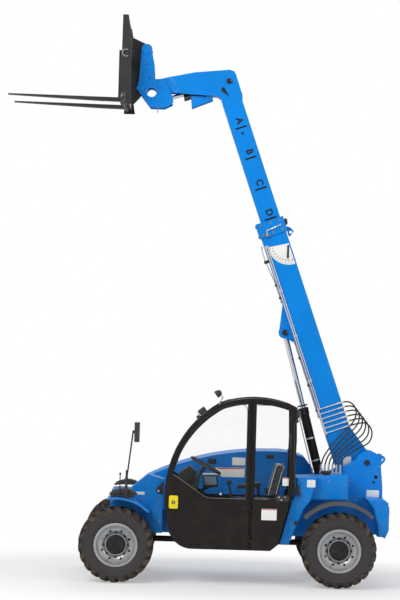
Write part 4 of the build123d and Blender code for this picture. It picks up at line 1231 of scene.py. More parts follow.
# ---------------------------------------------------------------- wheels
@dataclass
class Wheel:
    """A lugged tyre with its hub cover, wheel nuts and valve.

    Attributes:
        end: "front" or "rear".
        side: "left" or "right".
        lugs: Lugs round each half of the tread.
        tread_radius: Radius over the lugs.
        lean: How far a lug swings back from the centre line to the shoulder, as an angle.
        lug_half: Half the width of a lug's top at the centre line and at the shoulder.
        nuts: Wheel nuts round the disc.
    """

    end: str
    side: str
    lugs: int = 22
    tread_radius: float = 0.3872
    lean: float = 0.17
    lug_half: Flat = (0.017, 0.025)
    nuts: int = 8
    carcass: tuple[Flat, ...] = (
        (0.1056, 0.2098), (0.1056, 0.2255), (0.112, 0.233), (0.113, 0.2365), (0.119, 0.2455), (0.1275, 0.268),
        (0.1300, 0.2925), (0.1290, 0.311), (0.1314, 0.3155), (0.1314, 0.3225), (0.1270, 0.3265),
        (0.117, 0.338), (0.104, 0.350), (0.080, 0.3585), (0.045, 0.3625),
    )
    lug_top: tuple[Flat, ...] = (
        (-0.014, 0.0), (0.04, 0.0), (0.084, -0.001), (0.1075, -0.0075), (0.1225, -0.0255), (0.1305, -0.0545)
    )
    lug_foot: tuple[Flat, ...] = (
        (-0.014, -0.030), (0.04, -0.030), (0.080, -0.036), (0.096, -0.044), (0.108, -0.054), (0.118, -0.066)
    )

    def centre(self) -> Vector:
        """The middle of the wheel in the row frame."""
        return Vector((AXLE_X[self.end], SIDES[self.side] * WHEEL_Y, AXLE_Z))

    def lug(self, half: float) -> Shape:
        """One lug of the left or right half of the tread, on the +X side of the axle.

        Args:
            half: 1 for the half towards +Y, -1 for the other.

        Returns:
            The lug.
        """
        bm = bmesh.new()
        rings = []
        reach = self.lug_top[-1][0]
        for (y_top, drop), (y_foot, sink) in zip(self.lug_top, self.lug_foot):
            share = min(max(y_top / reach, 0.0), 1.0)
            turn = self.lean * share ** 1.3
            half_top = self.lug_half[0] + (self.lug_half[1] - self.lug_half[0]) * share
            ring = []
            for y, r, across in (
                (y_top, self.tread_radius + drop, -half_top),
                (y_top, self.tread_radius + drop, half_top),
                (y_foot, self.tread_radius + sink, half_top + 0.006),
                (y_foot, self.tread_radius + sink, -half_top - 0.006),
            ):
                angle = turn + across / r
                ring.append(bm.verts.new((r * math.cos(angle), half * y, r * math.sin(angle))))
            rings.append(ring)
        for one, two in zip(rings, rings[1:]):
            for k in range(4):
                m = (k + 1) % 4
                bm.faces.new((one[k], one[m], two[m], two[k]))
        bm.faces.new(rings[0])
        bm.faces.new(list(reversed(rings[-1])))
        bmesh.ops.recalc_face_normals(bm, faces=bm.faces)
        return eased(bm, 0.0035, 2)

    def tyre(self) -> bpy.types.Object:
        """Makes the tyre, which stands for the solid model's smooth one."""
        rear_half = [(-y, r) for y, r in reversed(self.carcass)]
        rubber = shape_turned([*self.carcass, *rear_half], (0, 0, 0), Axis.Y, 96)
        shapes = []
        pitch = math.tau / self.lugs
        for half in (1.0, -1.0):
            phase = pitch * (0.25 if half > 0 else 0.75)
            shapes.append(
                Repeat.ring(f"{self.end}_{self.side}_lugs", self.lug(half), self.lugs, 0.0, phase, 0.004, 7)
            )
        turn = Matrix.Rotation(math.pi, 4, "Z") if self.side == "right" else Matrix.Identity(4)
        place = Matrix.Translation(self.centre()) @ turn
        piece = Piece.place(f"{self.end}_{self.side}_carcass", moved(rubber, place), TYRE, self.body())
        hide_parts(f"{self.end}_{self.side}_tyre")
        Piece.place(f"{self.end}_{self.side}_tread", moved(merged(shapes), place), TREAD, self.body())
        return piece

    def body(self) -> str:
        """The name of the turning body."""
        return f"{self.end}_{self.side}_wheel"

    def hub(self) -> None:
        """Makes the hub cover with its screws, the wheel nuts and the valve."""
        out = Matrix.Translation(self.centre()) @ Matrix.Rotation(-math.pi / 2 * SIDES[self.side], 4, "X")
        profile = [
            (0.0585, 0.0), (0.0585, 0.101), (0.074, 0.1005), (0.079, 0.097), (0.092, 0.0935), (0.1, 0.086),
            (0.1025, 0.076), (0.1025, 0.046), (0.1075, 0.042), (0.1085, 0.036), (0.1085, 0.0),
        ]
        cover = turned_up(profile, 64)
        Piece.place(f"{self.end}_{self.side}_hub_cover", moved(cover, out), HUB, self.body())
        screws = [
            out @ facing((0.063 * math.cos(a), 0.063 * math.sin(a), 0.1022), (0, 0, 1), a)
            for a in (math.tau * k / 6 for k in range(6))
        ]
        Repeat.spots(f"{self.end}_{self.side}_hub_screws", hex_bolt(0.0065), screws, HUB, self.body())
        places = []
        for k in range(self.nuts):
            a = math.tau * k / self.nuts
            places.append(
                out
                @ facing(
                    (0.127 * math.cos(a), 0.127 * math.sin(a), 0.0665),
                    (-0.5 * math.cos(a), -0.5 * math.sin(a), 0.86), a
                )
            )
        Repeat.spots(f"{self.end}_{self.side}_wheel_nuts", hex_bolt(0.0125), places, NUT, self.body())
        angle = 1.1
        stem = [(0.176, 0.072), (0.176, 0.092), (0.181, 0.106)]
        path = [out @ Vector((r * math.cos(angle), r * math.sin(angle), z)) for r, z in stem]
        Piece.place(f"{self.end}_{self.side}_valve", bent_tube(path, 0.006, 0.0045, 10), NUT, self.body())

    def build(self) -> None:
        """Makes the whole wheel."""
        self.tyre()
        self.hub()


# ---------------------------------------------------------------- boom
def shape_text(text: str, height: float, depth: float, weight: float = 0.0) -> Shape:
    """Raised lettering, centred on the origin, that reads along +X and faces +Z.

    Args:
        text: The characters.
        height: Height of the type.
        depth: How far it stands up.
        weight: How far strokes are fattened.

    Returns:
        The lettering as one shape.
    """
    curve = bpy.data.curves.new("lettering", "FONT")
    curve.body = text
    curve.size = height * 1.38
    curve.extrude = depth / 2
    curve.offset = weight
    curve.align_x = "CENTER"
    curve.align_y = "CENTER"
    curve.resolution_u = 4
    holder = linked("lettering", curve)
    mesh = baked(holder)
    bm = Repeat.shape(mesh)
    bmesh.ops.remove_doubles(bm, verts=bm.verts, dist=1e-5)
    bmesh.ops.recalc_face_normals(bm, faces=bm.faces)
    return bm


READ_LEFT = Matrix(((-1, 0, 0, 0), (0, 0, 1, 0), (0, 1, 0, 0), (0, 0, 0, 1)))
READ_RIGHT = Matrix(((1, 0, 0, 0), (0, 0, -1, 0), (0, 1, 0, 0), (0, 0, 0, 1)))


@dataclass
class Boom:
    """Markings, clamps, pipes, pads, pins and the angle dial of the two boom boxes.

    Distances are on the boom's own axes: along it, to its left and square to it.
    """

    outer_half: float = 0.125
    inner_half: float = 0.103
    collar_half: float = 0.141
    letters: tuple[tuple[str, float, float], ...] = (
        ("A", 3.845, 3.772), ("B", 3.502, 3.435), ("C", 3.158, 3.0935), ("D", 2.825, 2.7605)
    )
    letter_height: float = 0.072
    bar_span: Flat = (-0.229, -0.104)
    dial_corner: Flat = (2.452, -0.068)
    dial_radius: float = 0.226

    def out(self, y: float, along: float, square: float, side: float, roll: float = 0.0) -> Matrix:
        """A placement on a side face of the boom, facing outwards."""
        return BOOM @ facing((along, y * side, square), (0, side, 0), roll)

    def scale_marks(self) -> None:
        """Makes the extension letters and their bars on both sides of the inner box."""
        shapes = []
        for side in SIDES.values():
            face = self.inner_half * side
            turn = READ_LEFT if side > 0 else READ_RIGHT
            for text, along, bar in self.letters:
                sign = shape_text(text, self.letter_height, 0.0016, 0.0035)
                shapes.append(moved(sign, Matrix.Translation((along, face, -0.163)) @ turn))
                low, high = sorted((face - 0.0008 * side, face + 0.0008 * side))
                shapes.append(
                    shape_box(
                        (bar - 0.0095, low, self.bar_span[0]), (bar + 0.0095, high, self.bar_span[1]), 0.0
                    )
                )
                if text == "A":
                    arrow = [(3.722, -0.19), (3.722, -0.152), (3.684, -0.171)]
                    shapes.append(shape_plate(arrow, low, high, Axis.Y, 0.0))
        Piece.place("extension_marks", moved(merged(shapes), BOOM), MARK_AND_SHADE, Body.INNER)

    def dial_point(self, share: float, radius: float) -> Flat:
        """A point of the dial, at a share of its quarter turn and a radius.

        Args:
            share: Share of the quarter turn.
            radius: Distance from the dial's corner.

        Returns:
            The point, along and square to the boom.
        """
        start, end = math.radians(-83.5), math.radians(-180.0)
        angle = start + (end - start) * share
        return (
            self.dial_corner[0] + radius * math.cos(angle), self.dial_corner[1] + radius * math.sin(angle)
        )

    def dial(self) -> None:
        """Makes the boom angle dial's plate, numbers and ticks, and its pointer, which is plumb at rest."""
        face = self.outer_half
        arc = [self.dial_point(n / 24, self.dial_radius) for n in range(25)]
        plate = shape_plate([self.dial_corner, *arc], face - 0.0004, face + 0.0016, Axis.Y, 0.0005)
        Piece.place("angle_dial", moved(plate, BOOM), BLANK, Body.OUTER)
        shapes = []
        for n in range(9):
            share = 0.06 + 0.88 * n / 8
            where = self.dial_point(share, self.dial_radius * 0.81)
            number = moved(
                shape_text(str(10 * n), 0.0125, 0.0008, 0.0004),
                Matrix.Translation((where[0], face + 0.0018, where[1])) @ READ_LEFT
            )
            shapes.append(number)
        Piece.place("angle_numbers", moved(merged(shapes), BOOM), MARK_AND_SHADE, Body.OUTER, False)
        places = []
        for n in range(33):
            where = self.dial_point(0.06 + 0.88 * n / 32, self.dial_radius * 0.93)
            angle = math.atan2(where[1] - self.dial_corner[1], where[0] - self.dial_corner[0])
            places.append(
                BOOM @ Matrix.Translation((where[0], face + 0.0018, where[1]))
                @ Matrix.Rotation(-angle, 4, "Y")
            )
        Repeat.spots(
            "angle_ticks", shape_box((-0.006, -0.0004, -0.0007), (0.006, 0.0004, 0.0007), 0.0), places,
            MARK_AND_SHADE, Body.OUTER
        )
        hang = BOOM_ANGLE
        down = (-math.sin(hang), -math.cos(hang))
        across = (down[1], -down[0])
        top, length = (2.424, -0.082), 0.142
        outline = [
            (top[0] + across[0] * w + down[0] * d, top[1] + across[1] * w + down[1] * d) for w,
            d in (
                (-0.009, -0.012), (0.009, -0.012), (0.011, length * 0.8), (0.0, length),
                (-0.011, length * 0.8)
            )
        ]
        pointer = shape_plate(outline, face + 0.0045, face + 0.0085, Axis.Y, 0.001)
        screw = bolt_at(0.007, (top[0], face + 0.0085, top[1]), (0, 1, 0))
        spacer = shape_turned(
            [(0.0, 0.0), (0.0, 0.008), (0.0035, 0.008), (0.0035, 0.0)], (top[0], face + 0.0014, top[1]),
            Axis.Y, 20
        )
        Piece.place("angle_pointer", moved(merged([pointer, screw, spacer]), BOOM), PLASTIC, Body.OUTER)

    def collar(self) -> None:
        """Makes the pad bolts, the crossing pipe with its fittings and the buffer at the mouth."""
        places = []
        for side in SIDES.values():
            for along in (2.615, 2.715):
                for square in (-0.085, -0.185, -0.29):
                    places.append(self.out(self.collar_half, along, square, side))
        for side in (-0.07, 0.07):
            for along in (2.61, 2.72):
                places.append(BOOM @ facing((along, side, -0.338), (0, 0, -1)))
        Repeat.spots("pad_bolts", hex_bolt(0.0115), places, ZINC, Body.OUTER)
        y = self.collar_half + 0.016
        corners = [
            (2.585, y, -0.256), (2.648, y, -0.250), (2.655, y, -0.170), (2.664, y, -0.092),
            (2.664, y - 0.018, -0.092)
        ]
        pipe = bent_tube(corners, 0.014, 0.006, 12)
        nuts = []
        for start, end in ((corners[0], corners[1]), (corners[2], corners[1]), (corners[2], corners[3])):
            a, b = Vector(start), Vector(end)
            at = a + (b - a).normalized() * 0.008
            nuts.append(shape_tube([at, at + (b - a).normalized() * 0.02], 0.0105, 6))
        nuts.append(
            moved(
                turned_up([(0.0, 0.0), (0.0, 0.012), (0.018, 0.01), (0.018, 0.0)], 18),
                facing((2.664, self.collar_half - 0.001, -0.092), (0, 1, 0))
            )
        )
        Piece.place("collar_pipe", moved(merged([pipe, *nuts]), BOOM), STEEL, Body.OUTER)
        valve = shape_box((2.585, self.collar_half - 0.001, -0.275), (2.612, y + 0.012, -0.232), 0.003)
        Piece.place(
            "collar_valve",
            moved(merged([valve, bolt_at(0.008, (2.598, y + 0.0119, -0.246), (0, 1, 0))]), BOOM), ZINC,
            Body.OUTER
        )
        block = shape_plate(
            [(2.640, -0.037), (2.652, -0.012), (2.700, -0.002), (2.716, -0.012), (2.714, -0.037)], 0.035,
            0.095, Axis.Y, 0.005
        )
        lug = bolt_at(0.008, (2.676, 0.0949, -0.022), (0, 1, 0))
        Piece.place("mouth_buffer", moved(merged([block, lug]), BOOM), PLASTIC, Body.OUTER)

    def under_pipes(self) -> None:
        """Makes the pipe runs along the boom's underside with their clamps, fittings and stand."""
        low = [[(0.60, y, -0.333), (1.445, y, -0.333)] for y in (0.088, 0.108)]
        high = [
            [
                (1.875, y, -0.333), (2.09, y, -0.333), (2.27, y, -0.352), (2.40, y, -0.362),
                (2.505, y, -0.352)
            ]
            for y in (0.088, 0.108)
        ]
        shapes = []
        for line in low + high:
            shapes.append(bent_tube(line, 0.03, 0.006, 12))
            for end, back in ((line[0], line[1]), (line[-1], line[-2])):
                a, b = Vector(end), Vector(back)
                shapes.append(
                    shape_tube(
                        [a - (b - a).normalized() * 0.004, a + (b - a).normalized() * 0.022], 0.0095, 6
                    )
                )
        Piece.place("underside_pipes", moved(merged(shapes), BOOM), STEEL, Body.OUTER)
        saddle = merged([
            shape_plate(
                [(-0.014, 0.0), (0.014, 0.0), (0.014, -0.019), (-0.014, -0.019)], 0.076, 0.120, Axis.Y,
                0.003
            ),
            bolt_at(0.006, (0.0, 0.098, -0.019), (0, 0, -1)),
        ])
        places = [
            BOOM @ Matrix.Translation((along, 0.0, -0.3215))
            for along in (0.68, 0.96, 1.262, 1.93, 2.07)
        ]
        Repeat.spots("underside_clamps", saddle, places, PLASTIC, Body.OUTER)
        stand = shape_plate(
            [(2.318, -0.321), (2.352, -0.321), (2.352, -0.376), (2.318, -0.376)], 0.078, 0.118, Axis.Y,
            0.004
        )
        Piece.place(
            "underside_stand",
            moved(merged([stand, bolt_at(0.008, (2.335, 0.1179, -0.346), (0, 1, 0))]), BOOM), PLASTIC,
            Body.OUTER
        )

    def pins(self) -> None:
        """Makes the caps, keeper plates and bolts over the boom's pins."""
        spots: list[tuple[float, float, float, float, Body]] = [
            (1.566, -0.394, 0.094, 0.031, Body.OUTER),
            (4.277, -0.135, 0.112, 0.03, Body.INNER),
        ]
        for n, (along, square, face, radius, body) in enumerate(spots):
            caps = []
            places = []
            for side in SIDES.values():
                cap = turned_up(
                    [
                        (0.0, 0.0), (0.0, radius), (0.006, radius), (0.009, radius * 0.86),
                        (0.009, radius * 0.3), (0.0055, radius * 0.2), (0.0055, 0.0)
                    ],
                    40
                )
                caps.append(moved(cap, self.out(face, along, square, side)))
                places.append(self.out(face + 0.0088, along, square + radius * 0.62, side))
            Piece.place(f"pin_caps_{n + 1}", merged(caps), NUT, body)
            Repeat.spots(f"pin_cap_bolts_{n + 1}", hex_bolt(0.0055), places, ZINC, body)
        keeper = side_plates(
            stadium((0.0, 0.052), (0.055, 0.075), 0.014), self.outer_half - 0.003, self.outer_half + 0.003,
            0.001
        )
        Piece.place("pivot_keepers", moved(keeper, BOOM), ZINC, Body.OUTER)
        places = [self.out(self.outer_half + 0.0029, 0.055, 0.075, side) for side in SIDES.values()]
        Repeat.spots("pivot_keeper_bolts", hex_bolt(0.007), places, ZINC, Body.OUTER)

    def head(self) -> None:
        """Makes the guard, stop, painted-shade patches, weld beads and bands of the cranked head."""
        shapes = []
        profile = [(4.262, -0.569), (4.172, -0.352), (4.138, -0.359), (4.127, -0.599)]
        for y in (-0.062, 0.056):
            shapes.append(shape_plate(profile, y, y + 0.006, Axis.Y, 0.001))
        cover = [(4.138, -0.359), (4.144, -0.359), (4.134, -0.592), (4.127, -0.599)]
        shapes.append(shape_plate(cover, -0.062, 0.062, Axis.Y, 0.001))
        Piece.place("head_guard", moved(merged(shapes), BOOM), BLUE, Body.INNER)
        step = both_sides(
            lambda side: shape_box(
                (4.235, min(side * 0.056, side * 0.086), -0.645),
                (4.262, max(side * 0.056, side * 0.086), -0.572), 0.004
            )
        )
        lugs = [bolt_at(0.007, (4.2351, side * 0.071, -0.61), (-1, 0, 0)) for side in SIDES.values()]
        Piece.place("head_stop", moved(merged([step, *lugs]), BOOM), PLASTIC, Body.INNER)
        # painted shade: thin black sheets on both sides of the head stand in for the dark shade at its crank;
        # they are not gussets
        shade_patch = side_plates(
            [(4.238, -0.205), (4.232, -0.238), (4.205, -0.246), (4.118, -0.184), (4.2, -0.2)], 0.1035,
            0.1065, 0.001
        )
        Piece.place("head_gussets", moved(shade_patch, BOOM), MARK_AND_SHADE, Body.INNER)
        line = [(4.034, -0.2755), (4.058, -0.225), (4.0635, -0.165), (4.05, -0.12), (4.034, -0.067)]
        bead = both_sides(lambda side: bent_tube([(s, side * 0.1035, w) for s, w in line], 0.02, 0.0028, 8))
        Piece.place("head_weld", moved(bead, BOOM), BLUE, Body.INNER)
        bands = side_plates(
            [(4.508, -0.735), (4.49, -0.69), (4.325, -0.672), (4.331, -0.712)], 0.1036, 0.1052, 0.0005
        )
        Piece.place("head_bands", moved(bands, BOOM), BLUE, Body.INNER)

    def cylinder_bands(self) -> None:
        """Makes the gland rings, ports and a feed pipe of the lift cylinder's barrel."""
        foot = Vector((-1.387, 0.0, 0.85))
        eye = boom_point(1.566, -0.394)
        ahead = (eye - foot).normalized()
        frame_of = facing(foot, ahead)
        shapes = []
        for at, long in ((0.925, 0.022), (0.968, 0.03), (1.015, 0.014)):
            outer = [
                (at, 0.0525), (at + long * 0.2, 0.0545), (at + long * 0.8, 0.0545), (at + long, 0.0525)
            ]
            shapes.append(turned_up([*outer, (at + long, 0.0475), (at, 0.0475)], 48))
        Piece.place("lift_gland_rings", moved(merged(shapes), frame_of), NUT, Body.BARREL)
        pipe = rounded_path(
            [
                (0.0, 0.0585, 0.30), (0.0, 0.066, 0.34), (0.0, 0.066, 0.86), (0.0, 0.0585, 0.90),
                (0.0, 0.046, 0.90)
            ],
            0.012
        )
        side_turn = Matrix.Rotation(math.radians(180), 4, "Z")
        straps = [
            turned_up([(at, 0.0475), (at, 0.0492), (at + 0.018, 0.0492), (at + 0.018, 0.0475)], 48)
            for at in (0.42, 0.66)
        ]
        ports = [
            moved(
                turned_up([(0.0, 0.0), (0.0, 0.011), (0.018, 0.01), (0.018, 0.0)], 18),
                facing((0.0, 0.0455, at), (0, 1, 0))
            )
            for at in (0.30, 0.90)
        ]
        Piece.place(
            "lift_feed_pipe",
            moved(merged([shape_tube(pipe, 0.006, 10), *straps, *ports]), frame_of @ side_turn), STEEL,
            Body.BARREL
        )

    def build(self) -> None:
        """Makes every fitting of the boom."""
        self.scale_marks()
        self.dial()
        self.collar()
        self.under_pipes()
        self.pins()
        self.head()
        self.cylinder_bands()


# ---------------------------------------------------------------- front end
@dataclass
class FrontEnd:
    """Lamps with their guards, fender liners and the nose's small fittings.

    Attributes:
        lamp_y: Distance of each lamp from the centre plane.
        lamp_half: Half the width of a lamp body.
    """

    lamp_y: float = 0.70
    lamp_half: float = 0.068
    hood_outline: tuple[Flat, ...] = (
        (0.884, 0.893), (0.866, 0.912), (0.828, 0.938), (0.766, 0.955), (0.705, 0.961), (0.645, 0.946),
        (0.606, 0.920), (0.584, 0.899), (0.612, 0.896), (0.664, 0.900), (0.750, 0.903), (0.830, 0.898),
    )

    def lamp(self, name: str, side: float) -> None:
        """Makes one lamp: its hood, foot, lens, turn signal and width rod.

        Args:
            name: The side's name.
            side: 1 for the left, -1 for the right.
        """
        y = self.lamp_y * side
        low, high = y - self.lamp_half, y + self.lamp_half
        hood = shape_plate(self.hood_outline, low, high, Axis.Y, 0.008)
        if side > 0:
            foot = shape_plate(
                [(0.614, 0.866), (0.857, 0.866), (0.860, 0.896), (0.614, 0.902)], low + 0.004, high - 0.004,
                Axis.Y, 0.006
            )
        else:
            foot = merged(
                [
                    bar_between((0.748, y + dy, 0.862), (0.748, y + dy, 0.925), 0.011, 16)
                    for dy in (-0.03, 0.03)
                ]
            )
        shell = Piece.place(f"head_lamp_{name}", merged([hood, foot]), PLASTIC)
        if side > 0:
            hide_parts("head_lamps")
        front = 0.8575 if side > 0 else 0.846
        level = 0.905 if side > 0 else 0.915
        bezel = [(0.0, 0.023), (0.006, 0.027), (0.010, 0.027), (0.010, 0.022), (0.004, 0.020)]
        Piece.place(
            f"lamp_bezel_{name}",
            moved(turned_up(bezel, 40), facing((front, y - 0.02 * side, level), (1, 0, 0))), STEEL
        )
        glass = turned_up([(0.0, 0.0), (0.0, 0.022), (0.006, 0.020), (0.010, 0.012), (0.011, 0.0)], 40)
        Piece.place(
            f"lamp_glass_{name}", moved(glass, facing((front, y - 0.02 * side, level), (1, 0, 0))), LENS
        )
        signal = shape_plate(round_rect((-0.014, -0.014), (0.014, 0.014), 0.006), 0.0, 0.010, Axis.Z, 0.003)
        Piece.place(
            f"turn_signal_{name}",
            moved(signal, facing((front - 0.001, y + 0.036 * side, level), (1, 0, 0))), AMBER
        )
        if side > 0:
            rod = [(0.768, y + 0.072, 0.866), (0.768, y + 0.072, 1.118)]
            tip = shape_turned(
                [(0.0, 0.0), (0.002, 0.008), (0.012, 0.011), (0.022, 0.009), (0.03, 0.0)],
                (0.768, y + 0.072, 1.096), Axis.Z, 16
            )
            Piece.place("width_rod", merged([bar_between(*rod, 0.0055, 12), tip]), PLASTIC)

    def fender_liner(self, side: float) -> Shape:
        """A black liner under one front fender.

        Args:
            side: 1 for the left, -1 for the right.

        Returns:
            The liner.
        """
        inner, outer = 0.4605, 0.4672
        arc = [math.radians(80 + 52 * n / 20) for n in range(21)]
        corners = [(AXLE_X["front"] + outer * math.cos(a), AXLE_Z + outer * math.sin(a)) for a in arc]
        corners += [
            (AXLE_X["front"] + inner * math.cos(a), AXLE_Z + inner * math.sin(a))
            for a in reversed(arc)
        ]
        low, high = sorted((0.425 * side, 0.872 * side))
        return shape_plate(corners, low, high, Axis.Y, 0.001)

    def nose(self) -> None:
        """Makes the nose's side markers, bolts, latches, knobs and slats."""
        plate = side_plates(round_rect((0.518, 0.872), (0.612, 0.904), 0.006), 0.3995, 0.4045, 0.0015)
        Piece.place("nose_markers", plate, BLANK)
        places = side_places(
            0.3998, ((0.471, 0.901), (0.36, 0.80), (0.36, 0.60), (0.75, 0.56), (0.58, 0.53))
        )
        Repeat.spots("nose_bolts", hex_bolt(0.008), places, ZINC)
        base = side_plates(
            [
                (0.320, 0.885), (0.320, 1.015), (0.345, 1.005), (0.398, 0.945), (0.406, 0.925),
                (0.388, 0.898)
            ],
            0.3995, 0.4095, 0.003
        )
        Piece.place("nose_latches", base, PLASTIC)
        knobs = [facing((0.374, side * 0.409, 0.918), (0, side, 0)) for side in SIDES.values()]
        knob = turned_up(
            [
                (0.0, 0.0), (0.0, 0.010), (0.008, 0.008), (0.012, 0.013), (0.02, 0.013), (0.024, 0.009),
                (0.024, 0.0)
            ],
            24
        )
        Repeat.spots("nose_knobs", knob, knobs, STEEL)
        slat = shape_plate(
            [(-0.004, -0.004), (0.012, -0.001), (0.012, 0.003), (-0.004, 0.0)], -0.12, 0.12, Axis.Y, 0.0008
        )
        grille = [Matrix.Translation((0.898, 0.0, 0.53 + 0.022 * n)) for n in range(9)]
        Repeat.spots("nose_slats", slat, grille, PLASTIC)

    def build(self) -> None:
        """Makes the whole front end."""
        for name, side in SIDES.items():
            self.lamp(name, side)
        Piece.place("front_fender_liners", both_sides(self.fender_liner), RUBBER)
        self.nose()


# ---------------------------------------------------------------- cab
@dataclass
class Cab:
    """The cab's outside fittings: handle, gaskets, hinges, lamps, pipe, plates and wiper."""

    door_face: float = 0.820
    pane_face: float = 0.768

    def latch(self) -> None:
        """Makes the yellow door handle with its round lock."""
        plate = shape_plate(
            round_rect((0.166, 0.772), (0.260, 0.907), 0.017, 8), self.door_face, self.door_face + 0.017,
            Axis.Y, 0.006
        )
        handle = Piece.place("door_handle", plate, YELLOW, Body.DOOR)
        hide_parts("door_latch")
        centre = (0.213, self.door_face + 0.0165, 0.838)
        ring = turned_up(
            [(0.0, 0.006), (0.0, 0.018), (0.003, 0.0185), (0.005, 0.016), (0.005, 0.009), (0.003, 0.006)],
            32
        )
        Piece.place("door_lock_ring", moved(ring, facing(centre, (0, 1, 0))), PLASTIC, Body.DOOR)
        core = turned_up([(0.0, 0.0), (0.0, 0.009), (0.0045, 0.0085), (0.005, 0.0)], 24)
        slot = shape_box((-0.0008, -0.005, 0.0048), (0.0008, 0.005, 0.0058), 0.0)
        Piece.place("door_lock", moved(merged([core, slot]), facing(centre, (0, 1, 0))), STEEL, Body.DOOR)

    def gaskets(self) -> None:
        """Makes the pale seals round the door pane and the quarter pane, and the door's edge seal."""
        door = [(0.226, 1.128), (-0.126, 0.8905), (-0.524, 0.8905)]
        line = [(x, self.door_face + 0.0005, z) for x, z in door]
        Piece.place("door_pane_seal", bent_tube(line, 0.05, 0.0042, 10, 8), SEAL, Body.DOOR)
        arc = [
            (0.212, 1.175), (0.160, 1.330), (0.105, 1.450), (0.03, 1.575), (-0.075, 1.70), (-0.19, 1.785),
            (-0.33, 1.845), (-0.522, 1.868), (-0.524, 0.905)
        ]
        line = [(x, self.door_face - 0.0002, z) for x, z in arc]
        Piece.place("door_pane_trim", bent_tube(line, 0.12, 0.0036, 10, 8), PLASTIC, Body.DOOR)
        quarter = [(-0.622, 0.898), (-0.975, 0.898), (-0.975, 1.855), (-0.62, 1.855)]
        line = [(x, self.pane_face + 0.002, z) for x, z in quarter]
        Piece.place("quarter_pane_seal", bent_tube(line, 0.05, 0.0042, 10, 8), SEAL)

    def hinges(self) -> None:
        """Makes the door's hinge leaves with their screws, the pane's knob and the stay latch."""
        leaves, places = [], []
        for level in (0.470, 0.790):
            leaves.append(
                shape_plate(
                    stadium((-0.530, level), (-0.50, level), 0.022), self.door_face, self.door_face + 0.005,
                    Axis.Y, 0.0015
                )
            )
            places += [facing((x, self.door_face + 0.0049, level), (0, 1, 0)) for x in (-0.530, -0.503)]
        knob = turned_up(
            [(0.0, 0.0), (0.0, 0.008), (0.012, 0.008), (0.014, 0.013), (0.021, 0.012), (0.023, 0.0)], 24
        )
        Piece.place("pane_knob", moved(knob, facing((-0.268, 0.7805, 0.934), (0, 1, 0))), STEEL, Body.DOOR)
        Piece.place("door_hinge_leaves", merged(leaves), CAB_BLACK, Body.DOOR)
        Repeat.spots("door_hinge_screws", hex_bolt(0.0062), places, NUT, Body.DOOR)
        base = shape_plate(
            stadium((-0.862, 0.905), (-0.942, 0.905), 0.032), self.door_face - 0.0305,
            self.door_face + 0.004, Axis.Y, 0.005
        )
        lever = shape_plate(
            stadium((-0.945, 0.888), (-0.885, 0.935), 0.012), self.door_face + 0.003,
            self.door_face + 0.012, Axis.Y, 0.003
        )
        Piece.place("pane_latch", merged([base, lever]), PLASTIC)
        spots = left_places(
            self.door_face + 0.0035, ((-0.868, 0.918), (-0.892, 0.892), (-0.925, 0.918), (-0.938, 0.892))
        )
        Repeat.spots("pane_latch_screws", hex_bolt(0.0075), spots, STEEL)

    def lamps(self) -> None:
        """Makes the work lamps on the pillar, on its stalk and at the rear corner, with the roof clamp."""
        tilt = Matrix.Translation((-0.078, 0.735, 1.752)) @ Matrix.Rotation(
            math.radians(-52), 4, "Y"
        ) @ Matrix.Scale(1.18, 4)
        housing = shape_plate(
            round_rect((-0.052, -0.034), (0.052, 0.034), 0.012), -0.045, 0.045, Axis.Y, 0.008
        )
        fins = [
            shape_box((-0.044 + 0.014 * n, -0.041, -0.046), (-0.039 + 0.014 * n, 0.041, -0.030), 0.001)
            for n in range(7)
        ]
        yoke = shape_box((-0.02, -0.05, -0.075), (0.02, 0.05, -0.044), 0.004)
        Piece.place("pillar_lamp", moved(merged([housing, *fins, yoke]), tilt), PLASTIC)
        pane = shape_plate(round_rect((-0.030, -0.038), (0.030, 0.038), 0.008), 0.0, 0.003, Axis.X, 0.001)
        face = Matrix.Translation((0.0525, 0.0, 0.0))
        Piece.place("pillar_lamp_glass", moved(pane, tilt @ face), LENS)
        bowl = turned_up(
            [
                (-0.034, 0.0), (-0.034, 0.014), (-0.02, 0.03), (0.018, 0.038), (0.03, 0.038), (0.03, 0.032),
                (0.024, 0.0)
            ],
            32
        )
        head = facing((-0.218, 0.70, 1.962), (0.75, 0.0, -0.55))
        stalk = bent_tube(
            [(-0.262, 0.70, 1.912), (-0.236, 0.70, 1.878), (-0.236, 0.70, 1.84)], 0.02, 0.0065, 12
        )
        arm = bent_tube(
            [(-0.262, 0.70, 1.908), (-0.262, 0.70, 1.93), (-0.238, 0.70, 1.948)], 0.01, 0.008, 12
        )
        Piece.place("stalk_lamp", moved(bowl, head), PLASTIC)
        Piece.place("stalk_lamp_stem", merged([stalk, arm]), STEEL)
        Piece.place(
            "stalk_lamp_glass",
            moved(turned_up([(0.0265, 0.0), (0.0265, 0.032), (0.0295, 0.032), (0.0335, 0.0)], 32), head),
            LENS
        )
        clamp = shape_plate(
            [
                (-0.55, 1.884), (-0.642, 1.884), (-0.642, 1.912), (-0.63, 1.919), (-0.56, 1.919),
                (-0.55, 1.912)
            ],
            0.715, 0.793, Axis.Y, 0.004
        )
        Piece.place("roof_clamp", clamp, CAB_BLACK)
        spots = [facing((x, 0.755, 1.9185), (0, 0, 1)) for x in (-0.575, -0.617)]
        Repeat.spots("roof_clamp_bolts", hex_bolt(0.0075), spots, NUT)
        box = shape_plate(round_rect((-1.062, 1.735), (-1.018, 1.815), 0.010), 0.70, 0.786, Axis.Y, 0.006)
        bracket = shape_plate(
            [
                (-0.955, 1.856), (-0.965, 1.872), (-1.036, 1.838), (-1.036, 1.80), (-1.018, 1.80),
                (-1.018, 1.83)
            ],
            0.72, 0.775, Axis.Y, 0.002
        )
        ball = shape_turned(
            [(0.0, 0.0), (0.002, 0.014), (0.014, 0.020), (0.028, 0.014), (0.03, 0.0)],
            (-1.032, 0.772, 1.702), Axis.Y, 24
        )
        strut = bar_between((-1.034, 0.760, 1.71), (-1.04, 0.752, 1.745), 0.008)
